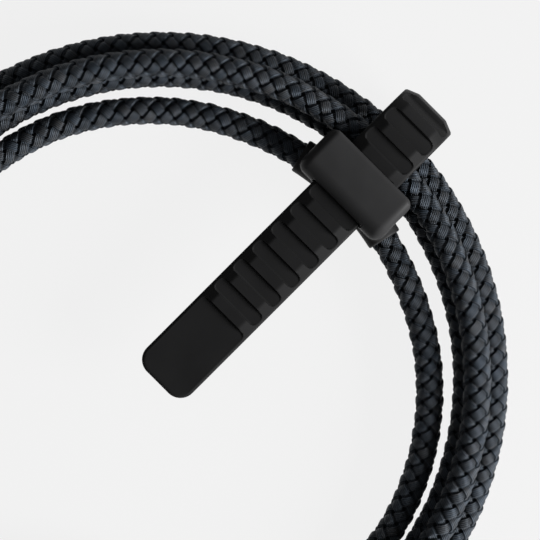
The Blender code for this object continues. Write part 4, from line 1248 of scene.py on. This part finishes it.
def add_camera(stage):
    """A camera that looks straight down, turned as the photograph is."""
    data = bpy.data.cameras.new("camera")
    data.sensor_width = 36.0
    data.lens = stage.lens
    camera = new_object("camera", data)
    camera.location = (stage.camera_x, 0.0, stage.camera_height)
    camera.rotation_euler = (0.0, 0.0, math.radians(CAMERA_TURN))
    bpy.context.scene.camera = camera


class CABLE_OT_stage(bpy.types.Operator):
    """Sets up the pale floor, the soft light and the camera"""

    bl_idname = "cable.stage"
    bl_label = "Stage"

    def execute(self, context):
        stage = context.scene.cable_stage
        add_camera(stage)
        add_world(stage)
        add_key_light(stage)
        add_floor(stage)
        context.scene.view_settings.view_transform = "Standard"
        return {"FINISHED"}


# --- Panel and registration ---

OPERATORS = (
    CABLE_OT_stage,
    CABLE_OT_plug_covers,
    CABLE_OT_strain_reliefs,
    CABLE_OT_plug_shells,
    CABLE_OT_plug_insides,
    CABLE_OT_braided_cord,
    CABLE_OT_tie_strap,
    CABLE_OT_tie_keeper,
)

SETTINGS = {
    "cable_stage": CableStageSettings,
    "cable_plugs": CablePlugSettings,
    "cable_cord": CableCordSettings,
    "cable_tie": CableTieSettings,
}


class CABLE_PT_cable(bpy.types.Panel):
    """Lists the cable's pieces and their settings"""

    bl_label = "Charging Cable"
    bl_idname = "CABLE_PT_cable"
    bl_space_type = "VIEW_3D"
    bl_region_type = "UI"
    bl_category = "Charging Cable"

    def draw(self, context):
        for operator in OPERATORS:
            self.layout.operator(operator.bl_idname)
        for name in SETTINGS:
            box = self.layout.box()
            settings = getattr(context.scene, name)
            for key in settings.bl_rna.properties.keys():
                if key not in ("rna_type", "name"):
                    box.prop(settings, key)


CLASSES = (*SETTINGS.values(), *OPERATORS, CABLE_PT_cable)


def register():
    for cls in CLASSES:
        bpy.utils.register_class(cls)
    for name, cls in SETTINGS.items():
        setattr(bpy.types.Scene, name, PointerProperty(type=cls))


def unregister():
    for name in SETTINGS:
        delattr(bpy.types.Scene, name)
    for cls in reversed(CLASSES):
        bpy.utils.unregister_class(cls)


def main():
    register()
    bpy.ops.cable.stage()
    bpy.ops.cable.plug_covers()
    bpy.ops.cable.strain_reliefs()
    bpy.ops.cable.plug_shells()
    bpy.ops.cable.plug_insides()
    bpy.ops.cable.braided_cord()
    bpy.ops.cable.tie_strap()
    bpy.ops.cable.tie_keeper()


if __name__ == "__main__":
    main()
